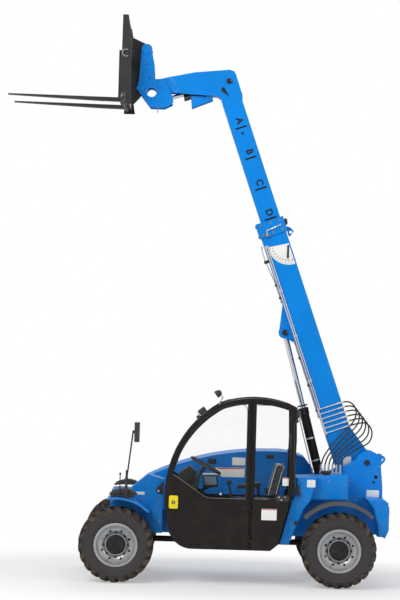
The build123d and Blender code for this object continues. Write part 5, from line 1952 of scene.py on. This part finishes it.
        Piece.place("rear_lamp", merged([box, bracket, ball, strut]), PLASTIC)
        lens = shape_plate(
            round_rect((0.708, 1.745), (0.778, 1.805), 0.008), -1.0655, -1.0615, Axis.X, 0.0012
        )
        Piece.place("rear_lamp_glass", lens, LENS)

    def pipe(self) -> None:
        """Makes the drain pipe down the rear pillar with its clips, and the knobs at its foot."""
        line = [
            (-1.004, 0.798, 1.70), (-1.012, 0.798, 1.45), (-1.022, 0.798, 1.20), (-1.030, 0.798, 1.02),
            (-1.030, 0.778, 0.99)
        ]
        Piece.place("drain_pipe", bent_tube(line, 0.03, 0.0065, 12), PLASTIC)
        clip = merged(
            [
                turned_up([(-0.008, 0.0065), (-0.008, 0.0095), (0.008, 0.0095), (0.008, 0.0065)], 18),
                shape_box((-0.003, -0.02, -0.006), (0.016, -0.006, 0.006), 0.001)
            ]
        )
        places = [
            Matrix.Translation((x, 0.798, z)) for x, z in ((-1.009, 1.55), (-1.018, 1.30), (-1.027, 1.08))
        ]
        Repeat.spots("drain_pipe_clips", clip, places, NUT)
        knob = turned_up(
            [
                (0.0, 0.0), (0.0, 0.010), (0.02, 0.010), (0.022, 0.019), (0.036, 0.021), (0.044, 0.016),
                (0.046, 0.0)
            ],
            28
        )
        places = left_places(0.70, ((-1.058, 1.02), (-1.072, 0.945), (-1.066, 0.985)))
        Repeat.spots("tank_knobs", knob, places, PLASTIC)

    def plates(self) -> None:
        """Makes the blank white plates on the cab's panes and panels."""
        spots: list[tuple[str, Flat, Flat, float, Body]] = [
            ("quarter_pane", (-0.984, 1.033), (-0.901, 1.116), self.pane_face + 0.0002, Body.CHASSIS),
            ("side_panel", (-0.848, 0.680), (-0.692, 0.795), self.door_face, Body.CHASSIS),
        ]
        for name, low, high, face, body in spots:
            plate = shape_plate(round_rect(low, high, 0.004), face - 0.0002, face + 0.0012, Axis.Y, 0.0004)
            Piece.place(f"blank_plate_{name}", plate, BLANK, body)
            bar = shape_box(
                (low[0] + 0.002, face + 0.001, high[1] - 0.012),
                (high[0] - 0.002, face + 0.0018, high[1] - 0.003), 0.0003
            )
            Piece.place(f"plate_rule_{name}", bar, PLATE_RED, body, False)
        sheet = [
            shape_plate(
                round_rect((-0.524, 1.197), (-0.388, 1.278), 0.004), 0.2178, 0.2192, Axis.Y, 0.0004
            ),
            shape_plate(
                [(-0.211, 1.166), (-0.521, 1.176), (-0.519, 1.072), (-0.278, 1.070)], 0.2178, 0.2192,
                Axis.Y, 0.0004
            )
        ]
        Piece.place("right_pane_sheets", merged(sheet), BLANK)
        rule = shape_plate(
            [(-0.230, 1.165), (-0.518, 1.174), (-0.518, 1.160), (-0.238, 1.151)], 0.2190, 0.2198, Axis.Y,
            0.0003
        )
        Piece.place("right_pane_rule", rule, PLATE_RED)

    def wiper(self) -> None:
        """Makes the windscreen wiper's arm and blade."""
        arm = bent_tube(
            [(0.245, 0.50, 1.138), (0.262, 0.50, 1.17), (0.214, 0.455, 1.34), (0.135, 0.42, 1.48)], 0.03,
            0.0055, 10
        )
        blade = bent_tube([(0.248, 0.46, 1.23), (0.199, 0.445, 1.38), (0.096, 0.42, 1.54)], 0.05, 0.0065, 8)
        Piece.place("wiper", merged([arm, blade]), PLASTIC)

    def build(self) -> None:
        """Makes all of the cab's outside fittings."""
        self.latch()
        self.gaskets()
        self.hinges()
        self.lamps()
        self.pipe()
        self.plates()
        self.wiper()


# ---------------------------------------------------------------- cab interior
@dataclass
class Cushion:
    """A padded cushion blown up by a short cloth simulation.

    Attributes:
        name: Piece name.
        node: The solid it stands for.
        low: Lowest corner of its starting block.
        high: Highest corner of its starting block.
        lean: Turn about the Y axis that the finished cushion has.
        pivot: The point it turns about.
        channels: Shares of its length where sewn channels run across.
        across: Whether channels cut the +X face instead of the top.
    """

    name: str
    node: str
    low: Point
    high: Point
    lean: float = 0.0
    pivot: Point = (0.0, 0.0, 0.0)
    channels: tuple[float, ...] = ()
    across: bool = False
    voxel: float = 0.006
    pressure: float = 4.0
    frames: int = 20
    most: float = 0.012

    def start_mesh(self) -> bpy.types.Mesh:
        """An evenly meshed rounded block to blow up."""
        block = bpy.data.meshes.new(self.name + "_start")
        shape = shape_box(self.low, self.high, 0.02)
        shape.to_mesh(block)
        shape.free()
        rough = linked(self.name + "_start", block)
        modifier = rough.modifiers.new("even", "REMESH")
        modifier.mode = "VOXEL"
        modifier.voxel_size = self.voxel
        mesh = baked(rough)
        return mesh

    def blow_up(self, mesh: bpy.types.Mesh) -> None:
        """Runs the pressure simulation on a mesh, with each point's travel capped.

        Args:
            mesh: The mesh, whose points are moved.
        """
        before = [v.co.copy() for v in mesh.vertices]
        obj = linked(self.name + "_soft", mesh)
        cloth = obj.modifiers.new("cloth", "CLOTH")
        cloth.settings.use_pressure = True
        cloth.settings.uniform_pressure_force = self.pressure
        cloth.settings.effector_weights.gravity = 0.0
        cloth.settings.quality = 5
        cloth.settings.tension_stiffness = 12.0
        cloth.settings.compression_stiffness = 12.0
        cloth.point_cache.frame_start = 1
        cloth.point_cache.frame_end = self.frames
        for number in range(1, self.frames + 1):
            bpy.context.scene.frame_set(number)
        soft = obj.evaluated_get(bpy.context.evaluated_depsgraph_get()).data
        after = [v.co.copy() for v in soft.vertices]
        bpy.context.scene.frame_set(1)
        bpy.data.objects.remove(obj)
        for vert, old, new in zip(mesh.vertices, before, after):
            step = new - old
            vert.co = old + step * min(1.0, self.most / max(step.length, 1e-6))

    def sew(self, mesh: bpy.types.Mesh) -> None:
        """Presses the sewn channels and the edge seam into the cushion.

        Args:
            mesh: The mesh, whose points are moved.
        """
        axis, face = (2, 0) if self.across else (0, 2)
        span = self.high[axis] - self.low[axis]
        top = self.high[face] - 0.035
        for vert in mesh.vertices:
            if vert.co[face] > top:
                for share in self.channels:
                    gap = abs(vert.co[axis] - self.low[axis] - share * span)
                    vert.co[face] -= 0.009 * math.exp(-((gap / 0.0075) ** 2))
            middle = (self.high[face] + self.low[face]) / 2
            gap = abs(vert.co[face] - middle)
            if gap < 0.02:
                centre = Vector([(a + b) / 2 for a, b in zip(self.low, self.high)])
                inward = centre - vert.co
                inward[face] = 0.0
                vert.co += inward.normalized() * 0.004 * math.exp(-((gap / 0.005) ** 2))

    def build(self) -> bpy.types.Object:
        """Makes the cushion, and returns it."""
        mesh = self.start_mesh()
        self.blow_up(mesh)
        self.sew(mesh)
        bm = Repeat.shape(mesh)
        bmesh.ops.subdivide_edges(bm, edges=bm.edges, cuts=1, use_grid_fill=True, smooth=0.0)
        pivot = Matrix.Translation(self.pivot)
        moved(bm, pivot @ Matrix.Rotation(self.lean, 4, "Y") @ pivot.inverted())
        piece = Piece.place(self.name, bm, VINYL)
        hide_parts(self.node)
        return piece


@dataclass
class Interior:
    """Seat, pedals, pods, levers, belt and mat inside the cab."""

    def seat(self) -> None:
        """Makes both cushions and the piping of the back rest."""
        Cushion(
            "seat_pad", "seat_cushion", (-0.822, 0.296, 0.800), (-0.372, 0.704, 0.872),
            channels=(0.3, 0.5, 0.7, 0.88)
        ).build()
        Cushion(
            "seat_rest", "seat_back", (-0.836, 0.306, 0.902), (-0.762, 0.694, 1.262),
            lean=math.radians(-14.0), pivot=(-0.77, 0.5, 0.90), channels=(0.22, 0.42, 0.62, 0.82),
            across=True
        ).build()

        trim = []
        for y in (0.297, 0.703):
            for front in (-0.760, -0.838):
                line = [
                    (front, y, 0.93), (front - 0.028, y, 1.05), (front - 0.058, y, 1.17),
                    (front - 0.080, y, 1.235)
                ]
                trim.append(bent_tube(line, 0.06, 0.0045, 8))
        Piece.place("seat_piping", merged(trim), MARK_PALE)

    def controls(self) -> None:
        """Makes the display, lever boot, pedals, column stick, floor mat, arm rest and belt clasp."""
        pod = shape_plate(
            [(-0.088, 0.955), (-0.080, 1.098), (-0.236, 1.102), (-0.246, 0.970)], 0.262, 0.322, Axis.Y,
            0.012
        )
        stalk = bent_tube([(-0.05, 0.29, 0.93), (-0.10, 0.29, 0.94), (-0.15, 0.29, 0.975)], 0.02, 0.014, 14)
        Piece.place("display_pod", merged([pod, stalk]), PLASTIC)
        hood = shape_plate(
            [(-0.082, 1.092), (-0.080, 1.108), (-0.238, 1.112), (-0.240, 1.096)], 0.258, 0.330, Axis.Y,
            0.004
        )
        Piece.place("display_hood", hood, BLANK)
        screen = shape_plate(
            [(-0.100, 0.985), (-0.095, 1.080), (-0.222, 1.083), (-0.229, 0.995)], 0.3215, 0.3245, Axis.Y,
            0.001
        )
        Piece.place("display_screen", screen, SCREEN)
        boot = shape_turned(
            [
                (0.0, 0.0), (0.0, 0.052), (0.012, 0.045), (0.018, 0.049), (0.03, 0.038), (0.036, 0.042),
                (0.048, 0.030), (0.054, 0.034), (0.066, 0.022), (0.078, 0.017), (0.078, 0.0)
            ],
            (-0.43, 0.262, 0.452), Axis.Z, 32
        )
        Piece.place("lever_boot", boot, RUBBER)
        pads = []
        for y in (0.60, 0.50, 0.40):
            pad = shape_box((-0.042, -0.036, 0.0), (0.042, 0.036, 0.012), 0.003)
            ribs = [
                shape_box((-0.038 + 0.016 * n, -0.032, 0.011), (-0.031 + 0.016 * n, 0.032, 0.0155), 0.001)
                for n in range(5)
            ]
            arm = bent_tube([(0.0, 0.0, 0.004), (0.03, 0.0, -0.03), (0.05, 0.0, -0.075)], 0.02, 0.008, 12)
            pads.append(
                moved(
                    merged([pad, *ribs, arm]),
                    Matrix.Translation((0.10, y, 0.545)) @ Matrix.Rotation(math.radians(-38), 4, "Y")
                )
            )
        Piece.place("pedals", merged(pads), PLASTIC)
        knob = turned_up([(-0.016, 0.0), (-0.012, 0.010), (0.0, 0.0165), (0.012, 0.010), (0.016, 0.0)], 24)
        stick = shape_tube([Vector((-0.05, 0.52, 1.10)), Vector((-0.034, 0.60, 1.082))], 0.005, 10)
        Piece.place(
            "column_stick", merged([moved(knob, Matrix.Translation((-0.034, 0.61, 1.080))), stick]), PLASTIC
        )
        ribs = [Matrix.Translation((0.0, 0.27 + 0.03 * n, 0.0)) for n in range(15)]
        rib = shape_box((-0.33, -0.006, 0.4475), (0.03, 0.006, 0.4545), 0.002)
        Repeat.spots("mat_ribs", rib, ribs, RUBBER)
        mat = shape_plate(round_rect((-0.345, 0.245), (0.045, 0.715), 0.02), 0.4475, 0.4515, Axis.Z, 0.001)
        Piece.place("floor_mat", mat, RUBBER)
        rest = shape_plate(
            [(-0.70, 0.985), (-0.45, 0.955), (-0.44, 0.985), (-0.46, 1.005), (-0.69, 1.032)], 0.243, 0.292,
            Axis.Y, 0.012
        )
        post = bar_between((-0.66, 0.272, 0.99), (-0.68, 0.272, 0.80), 0.014)
        Piece.place("arm_rest", merged([rest, post]), VINYL)
        belt = bent_tube(
            [(-0.79, 0.29, 0.80), (-0.785, 0.285, 0.90), (-0.75, 0.29, 0.925)], 0.02, 0.011, 10
        )
        clasp = shape_box((-0.765, 0.272, 0.92), (-0.735, 0.304, 0.975), 0.006)
        Piece.place("belt_clasp", merged([belt, clasp]), PLASTIC)
        nut = left_places(0.7405, ((-0.90, 1.02), (-0.90, 0.90)))
        Repeat.spots("inner_bolts", hex_bolt(0.008), nut, NUT)

    def wheel_trim(self) -> None:
        """Makes the steering wheel's boss cap."""
        tilt = Matrix.Rotation(math.radians(28), 4, "Y")
        cap = turned_up([(0.0, 0.0), (0.0, 0.036), (0.010, 0.034), (0.016, 0.022), (0.018, 0.0)], 36)
        Piece.place("wheel_cap", moved(cap, Matrix.Translation((-0.112, 0.50, 1.208)) @ tilt), PLASTIC)

    def build(self) -> None:
        """Makes the whole interior."""
        self.seat()
        self.controls()
        self.wheel_trim()


# ---------------------------------------------------------------- machine body
@dataclass
class Bodywork:
    """Fittings of the tower, tank, counterweight, hood, engine pod, fenders and mirror."""

    plate_y: float = 0.192
    tank_y: float = 0.700
    pod_y: float = 0.800
    weight_x: float = -2.022

    def blank(self, name: str, low: Flat, high: Flat, face: float) -> None:
        """Makes one blank white plate on a left side face.

        Args:
            name: Name after the piece's prefix.
            low: Lowest corner as (x, z).
            high: Highest corner as (x, z).
            face: Distance of the face to the left.
        """
        plate = shape_plate(round_rect(low, high, 0.004), face - 0.0003, face + 0.0013, Axis.Y, 0.0004)
        Piece.place(f"blank_plate_{name}", plate, BLANK)

    def tower(self) -> None:
        """Makes the tower's plates, plugs, bolts and the pivot pin's caps."""
        self.blank("tower", (-1.940, 0.874), (-1.809, 0.974), self.plate_y)
        label = shape_plate(
            round_rect((-1.642, 1.212), (-1.560, 1.316), 0.004), 0.1247, 0.1263, Axis.Y, 0.0004
        )
        Piece.place("blank_plate_foot", label, BLANK, Body.OUTER)
        cups = []
        for side in SIDES.values():
            for x, z, r in ((-1.903, 1.112, 0.019), (-1.881, 1.057, 0.012)):
                ring = [
                    (0.0, r * 0.2), (0.0, r), (0.0016, r), (0.0022, r * 0.82), (0.0008, r * 0.7),
                    (0.0008, r * 0.2)
                ]
                cups.append(
                    moved(turned_up(ring, 32), facing((x, side * (self.plate_y - 0.0002), z), (0, side, 0)))
                )
                cups.append(
                    moved(
                        turned_up([(0.0, 0.0), (0.0, r * 0.7), (0.0009, r * 0.7), (0.0009, 0.0)], 32),
                        facing((x, side * self.plate_y, z), (0, side, 0))
                    )
                )
        Piece.place("tower_plugs", merged(cups), MARK_AND_SHADE)
        caps = []
        for side in SIDES.values():
            profile = [
                (0.0, 0.0), (0.0, 0.030), (0.007, 0.030), (0.010, 0.026), (0.010, 0.010), (0.007, 0.007),
                (0.007, 0.0)
            ]
            caps.append(
                moved(turned_up(profile, 40), facing((PIVOT_X, side * 0.201, PIVOT_Z), (0, side, 0)))
            )
        Piece.place("pivot_caps", merged(caps), NUT)
        places = side_places(
            self.plate_y, ((-1.629, 0.864), (-1.624, 1.066), (-1.93, 1.22), (-1.96, 1.00), (-1.70, 0.864))
        )
        Repeat.spots("tower_bolts", hex_bolt(0.0075), places, ZINC)

    def tank(self) -> None:
        """Makes the side tank's plate, filler cap, plug and bolts."""
        self.blank("tank", (-1.243, 1.021), (-1.156, 1.098), self.tank_y)
        profile = [
            (0.0, 0.0), (0.0, 0.042), (0.010, 0.042), (0.012, 0.050), (0.030, 0.052), (0.036, 0.046),
            (0.037, 0.012), (0.034, 0.009), (0.034, 0.0)
        ]
        grips = [
            moved(
                shape_box((0.0505, -0.004, 0.012), (0.0555, 0.004, 0.030), 0.0012),
                Matrix.Rotation(math.tau * k / 16, 4, "Z")
            )
            for k in range(16)
        ]
        Piece.place(
            "tank_cap",
            moved(merged([turned_up(profile, 48), *grips]), Matrix.Translation((-1.36, 0.47, 1.143))),
            PLASTIC
        )
        plug = turned_up(
            [
                (0.0, 0.0), (0.0, 0.022), (0.004, 0.022), (0.008, 0.016), (0.008, 0.008), (0.004, 0.006),
                (0.004, 0.0)
            ],
            32
        )
        Piece.place(
            "tank_plug", moved(plug, facing((-1.053, self.tank_y - 0.001, 0.65), (0, 1, 0))), PLASTIC
        )
        places = left_places(
            self.tank_y - 0.0005,
            ((-1.00, 0.48), (-1.00, 0.66), (-1.10, 0.98), (-1.38, 1.09), (-1.10, 1.09))
        )
        Repeat.spots("tank_bolts", hex_bolt(0.0075), places, ZINC)

    def weight(self) -> None:
        """Makes the tail lamps and the bolts on the counterweight's rear."""
        for name, side in SIDES.items():
            y = 0.44 * side
            base = shape_plate(
                round_rect((y - 0.075, 0.735), (y + 0.075, 0.805), 0.012), self.weight_x - 0.004,
                self.weight_x + 0.018, Axis.X, 0.003
            )
            Piece.place(f"tail_lamp_base_{name}", base, PLASTIC)
            for n, (shift, finish) in enumerate(((-0.046, RED), (0.0, RED), (0.046, AMBER))):
                bowl = turned_up(
                    [(0.0, 0.0), (0.0, 0.020), (0.003, 0.0195), (0.006, 0.013), (0.007, 0.0)], 28
                )
                Piece.place(
                    f"tail_lamp_{name}_{n + 1}",
                    moved(bowl, facing((self.weight_x - 0.0035, y + shift * side, 0.770), (-1, 0, 0))),
                    finish
                )
        profile = [(0.0, 0.0), (0.0, 0.036), (0.006, 0.036), (0.010, 0.030), (0.010, 0.0)]
        places = [
            facing((self.weight_x + 0.001, y, z), (-1, 0, 0))
            for y in (-0.30, 0.30)
            for z in (0.60, 0.71)
        ]
        Repeat.spots("weight_bolts", turned_up(profile, 36), places, NUT)

    def slats(
        self, name: str, low: Flat, high: Flat, face: float, count: int, body: Body, finish: Finish
    ) -> None:
        """Makes a framed louvre panel on the right side.

        Args:
            name: Piece name.
            low: Lowest corner as (x, z).
            high: Highest corner as (x, z).
            face: Distance of the face to the right.
            count: Number of louvres.
            body: The body it rides on.
            finish: Finish of the louvres.
        """
        outer = round_rect(low, high, 0.016)
        backing = shape_plate(outer, -face - 0.0012, -face + 0.002, Axis.Y, 0.0008)
        Piece.place(f"{name}_backing", backing, MARK_AND_SHADE, body)
        rim = shape_tube([Vector((x, -face - 0.001, z)) for x, z in [*outer, outer[0]]], 0.004, 8)
        Piece.place(f"{name}_rim", rim, finish, body)
        step = (high[1] - low[1] - 0.03) / max(count - 1, 1)
        half = (high[0] - low[0]) / 2 - 0.014
        slat = shape_plate(
            [
                (-0.0005, 0.004), (-0.0005, 0.000), (-0.008, -0.006), (-0.009, -0.0045), (-0.003, 0.001),
                (-0.002, 0.004)
            ],
            -half, half, Axis.X, 0.0008
        )
        places = [
            Matrix.Translation(((low[0] + high[0]) / 2, -face - 0.0005, low[1] + 0.015 + step * n))
            for n in range(count)
        ]
        Repeat.spots(f"{name}_slats", slat, places, finish, body)

    def hood(self) -> None:
        """Makes the hood's louvres and grip, and the pod's grille, latches, outlet and bolts."""
        self.slats("hood_louvre_rear", (-0.98, 0.93), (-0.66, 1.13), self.pod_y, 8, Body.HOOD, BLUE)
        self.slats("hood_louvre_front", (-0.42, 0.90), (-0.12, 1.07), self.pod_y, 7, Body.HOOD, BLUE)
        self.slats("pod_grille", (-0.82, 0.50), (-0.30, 0.69), self.pod_y, 8, Body.CHASSIS, BLUE)
        latches = []
        for low, high in (((-0.223, 1.180), (-0.137, 1.236)), ((-0.838, 1.253), (-0.757, 1.292))):
            frame_of = shape_plate(round_rect(low, high, 0.008), -0.1925, -0.1870, Axis.Y, 0.002)
            paddle = shape_plate(
                round_rect((low[0] + 0.016, low[1] + 0.012), (high[0] - 0.016, high[1] - 0.012), 0.005),
                -0.1875, -0.1825, Axis.Y, 0.0015
            )
            latches += [frame_of, paddle]
        Piece.place("pod_inner_latches", merged(latches), PLASTIC)
        grip = bent_tube(
            [(-0.60, -0.799, 0.84), (-0.60, -0.832, 0.84), (-0.46, -0.832, 0.84), (-0.46, -0.799, 0.84)],
            0.018, 0.007, 12
        )
        Piece.place("hood_grip", grip, PLASTIC, Body.HOOD)
        outlet = bent_tube(
            [(-0.98, -0.795, 0.545), (-0.98, -0.835, 0.545), (-0.99, -0.85, 0.50)], 0.02, 0.026, 24
        )
        collar = turned_up([(0.0, 0.028), (0.0, 0.042), (0.005, 0.042), (0.006, 0.028)], 32)
        Piece.place(
            "exhaust_outlet", merged([outlet, moved(collar, facing((-0.98, -0.7995, 0.545), (0, -1, 0)))]),
            ENGINE
        )
        places = [
            facing((x, -self.pod_y - 0.0002, z), (0, -1, 0)) for x,
            z in ((-0.88, 0.47), (-0.25, 0.47), (-0.88, 0.72), (-0.22, 0.72), (0.10, 0.60), (0.10, 0.72))
        ]
        Repeat.spots("pod_bolts", hex_bolt(0.0075), places, ZINC)

    def fenders(self) -> None:
        """Makes the small brackets over the rear fender strips."""
        places = []
        for side in SIDES.values():
            for degrees in (58.0, 90.0, 118.0):
                a = math.radians(degrees)
                reach = AXLE_Z + 0.080 + 0.0335
                where = Vector(
                    (AXLE_X["rear"] + reach * math.cos(a), 0.83 * side, AXLE_Z + reach * math.sin(a))
                )
                places.append(facing(where, (math.cos(a), 0.0, math.sin(a))))
        tab = merged(
            [
                shape_box((-0.022, -0.038, -0.002), (0.022, 0.038, 0.004), 0.0015),
                moved(hex_bolt(0.007), Matrix.Translation((0.0, 0.018, 0.0035))),
                moved(hex_bolt(0.007), Matrix.Translation((0.0, -0.018, 0.0035)))
            ]
        )
        Repeat.spots("rear_fender_tabs", tab, places, NUT)

    def mirror(self) -> None:
        """Makes the mirror's glass and the arm's lower sleeve."""
        glass = shape_plate(
            round_rect((0.722, 1.456), (0.868, 1.630), 0.018), 0.5775, 0.5812, Axis.X, 0.001
        )
        Piece.place("mirror_glass", glass, CHROME)
        sleeve = shape_turned(
            [
                (0.0, 0.0), (0.0, 0.0150), (0.030, 0.0155), (0.034, 0.0125), (0.10, 0.0115),
                (0.108, 0.0095), (0.110, 0.0)
            ],
            (0.7, 0.812, 1.045), Axis.Z, 20
        )
        Piece.place("mirror_sleeve", sleeve, PLASTIC)

    def roof(self) -> None:
        """Makes the pressed ribs of the roof panel and the rear pane's seal."""
        ribs = []
        for y in (0.32, 0.41, 0.50, 0.59, 0.68):
            line = [
                (-0.92, y, 1.868), (-0.78, y, 1.897), (-0.62, y, 1.907), (-0.46, y, 1.904),
                (-0.32, y, 1.885)
            ]
            ribs.append(bent_tube(line, 0.2, 0.006, 8, 6))
        Piece.place("roof_ribs", merged(ribs), CAB_BLACK)
        ring = round_rect((0.250, 0.968), (0.732, 1.782), 0.05, 6)
        line = [Vector((-1.0165, y, z)) for y, z in [*ring, ring[0]]]
        Piece.place("rear_pane_seal", shape_tube(line, 0.005, 8), RUBBER)

    def build(self) -> None:
        """Makes all the bodywork fittings."""
        self.tower()
        self.tank()
        self.weight()
        self.hood()
        self.fenders()
        self.mirror()
        self.roof()


@dataclass
class ForkEnd:
    """Fittings of the hitch, the fork carriage and the forks."""

    side_y: float = 0.600
    plate_y: float = 0.132
    pivot: Flat = (0.480, 5.185)
    hole: Flat = (0.574, 5.103)
    hook: Flat = (0.636, 5.555)
    lock: Flat = (0.685, 5.155)

    def build(self) -> None:
        """Makes the shaft ends, carriage marks, lock pin, bolts and rings."""
        rings, ends = [], []
        for side in SIDES.values():
            turn = facing((0.839, side * (self.side_y - 0.0008), 5.460), (0, side, 0))
            sweep = [
                Vector((0.036 * math.cos(a), 0.036 * math.sin(a), 0.003))
                for a in (math.radians(60 + 250 * n / 28) for n in range(29))
            ]
            rings.append(moved(shape_tube(sweep, 0.0042, 8), turn))
            ends.append(
                moved(
                    turned_up(
                        [
                            (0.0, 0.0), (0.0, 0.031), (0.006, 0.031), (0.010, 0.027), (0.010, 0.008),
                            (0.007, 0.0)
                        ],
                        36
                    ),
                    turn
                )
            )
        Piece.place("shaft_rings", merged(rings), MARK_PALE, Body.HITCH)
        Piece.place("shaft_ends", merged(ends), NUT, Body.HITCH)
        pale = side_plates(
            [(0.834, 4.938), (0.880, 4.938), (0.878, 5.046), (0.834, 5.050)], self.side_y - 0.0002,
            self.side_y + 0.0012, 0.0005
        )
        Piece.place("carriage_marks", pale, FORK_GREY, Body.HITCH)
        pin = bar_between((0.507, 0.0, 4.896), (0.507, 0.0, 4.956), 0.0055, 12)
        clip = bent_tube(
            [(0.507, -0.018, 4.903), (0.507, 0.014, 4.903), (0.507, 0.020, 4.912), (0.507, -0.012, 4.914)],
            0.006, 0.002, 8
        )
        Piece.place("hitch_lock_pin", merged([pin, clip]), STEEL, Body.HITCH)
        spots = side_places(self.plate_y, ((0.48, 5.185), (0.60, 5.26), (0.63, 5.40)))
        Repeat.spots("hitch_bolts", hex_bolt(0.008), spots, NUT, Body.HITCH)
        self.rings()

    def rings(self) -> None:
        """Makes the welded rings round the hitch's holes and pins."""
        parts = []
        for side in SIDES.values():
            for (x, z), inner, outer, tall in (
                (self.hole, 0.0502, 0.076, 0.009), (self.hook, 0.0402, 0.054, 0.006),
                (self.pivot, 0.0302, 0.046, 0.007), (self.lock, 0.0222, 0.034, 0.005)
            ):
                profile = [
                    (-0.001, inner), (-0.001, outer), (tall * 0.6, outer), (tall, outer - 0.004),
                    (tall, inner + 0.003), (tall * 0.8, inner)
                ]
                parts.append(
                    moved(turned_up(profile, 56), facing((x, side * self.plate_y, z), (0, side, 0)))
                )
        Piece.place("hitch_rings", merged(parts), BLUE, Body.HITCH)
        edge = [
            (self.pivot[0] + 0.212, self.pivot[1] + 0.375), (self.pivot[0] + 0.232, self.pivot[1] + 0.031),
            (self.pivot[0] + 0.256, self.pivot[1] - 0.044), (self.pivot[0] + 0.185, self.pivot[1] - 0.135)
        ]
        seams = [
            bent_tube([(x - 0.012, side * (self.plate_y + 0.0015), z) for x, z in edge], 0.03, 0.0045, 8)
            for side in SIDES.values()
        ]
        Piece.place("hitch_edge_welds", merged(seams), BLUE, Body.HITCH)


# ---------------------------------------------------------------- drive line
@dataclass
class DriveLine:
    """Kingpin caps and brake pipes of both axles."""

    def build(self) -> None:
        """Makes the axle fittings."""
        for end, x in AXLE_X.items():
            for side_name, side in SIDES.items():
                body = f"{end}_{side_name}_knuckle"
                top = Matrix.Translation((x, side * 0.640, AXLE_Z + 0.103))
                cup = turned_up(
                    [
                        (0.0, 0.0), (0.0, 0.024), (0.005, 0.024), (0.008, 0.018), (0.008, 0.008),
                        (0.016, 0.006), (0.018, 0.0)
                    ],
                    28
                )
                Piece.place(f"{end}_{side_name}_kingpin_cap", moved(cup, top), NUT, body)
            forward = 1.0 if end == "front" else -1.0
            line = [
                (x - 0.05 * forward, -0.52, AXLE_Z + 0.085), (x - 0.05 * forward, -0.2, AXLE_Z + 0.092),
                (x - 0.05 * forward, 0.2, AXLE_Z + 0.092), (x - 0.05 * forward, 0.52, AXLE_Z + 0.085)
            ]
            Piece.place(f"{end}_brake_pipe", bent_tube(line, 0.03, 0.004, 8), STEEL)


# ---------------------------------------------------------------- assembly
def dress_nodes() -> None:
    """Gives every solid part that stays in view its finish."""
    ends = [f"{end}_{side}" for end in AXLE_X for side in SIDES]
    dressed: list[tuple[Finish, list[str]]] = [
        (
            BLUE,
            [
                "chassis_frame", "counterweight", "engine_pod", "engine_hood", "side_tank", "nose_cowls",
                "front_fenders", "boom_outer", "boom_inner", "hitch"
            ]
        ),
        (
            CAB_BLACK,
            [
                "cab_frame", "cab_tub", "rear_side_panel", "door_panel", "lift_barrel", "tilt_barrel",
                "front_axle", "rear_axle", "drive_shaft", "roof_panel", "seat_base"
            ]
        ),
        (CAB_BLACK, [f"{end}_knuckle" for end in ends]),
        (RIM_SILVER, [f"{end}_rim" for end in ends]),
        (TYRE, [f"{end}_tyre" for end in ends]),
        (ENGINE, ["engine_block"]),
        (FORK_GREY, ["fork_carriage", "fork_left", "fork_right"]),
        (CHROME, ["lift_rod", "tilt_rod", "front_steering_rod", "rear_steering_rod"]),
        (GLASS, ["windscreen", "rear_window", "quarter_window", "right_window", "door_window"]),
        (PLASTIC, ["steering_column", "dash", "control_lever", "head_lamps", "mirror"]),
        (RUBBER, ["rear_fenders"]),
        (HOSE, ["hoses"]),
        (STEEL, ["steel_lines", "hose_ports"]),
        (VINYL, ["seat_cushion", "seat_back"]),
        (YELLOW, ["door_latch"]),
    ]
    for finish, names in dressed:
        for name in names:
            NODES[name].data.materials.clear()
            NODES[name].data.materials.append(finish.material())
            LOG.info("%s dressed in %s", name, finish.name)


def main() -> None:
    logging.basicConfig(level=logging.INFO, format="%(name)s: %(message)s")
    Setting().build()
    Hoses().build()
    for end in AXLE_X:
        for side in SIDES:
            Wheel(end, side).build()
    Boom().build()
    FrontEnd().build()
    Cab().build()
    Interior().build()
    Bodywork().build()
    ForkEnd().build()
    DriveLine().build()
    dress_nodes()


if __name__ == "__main__":
    main()
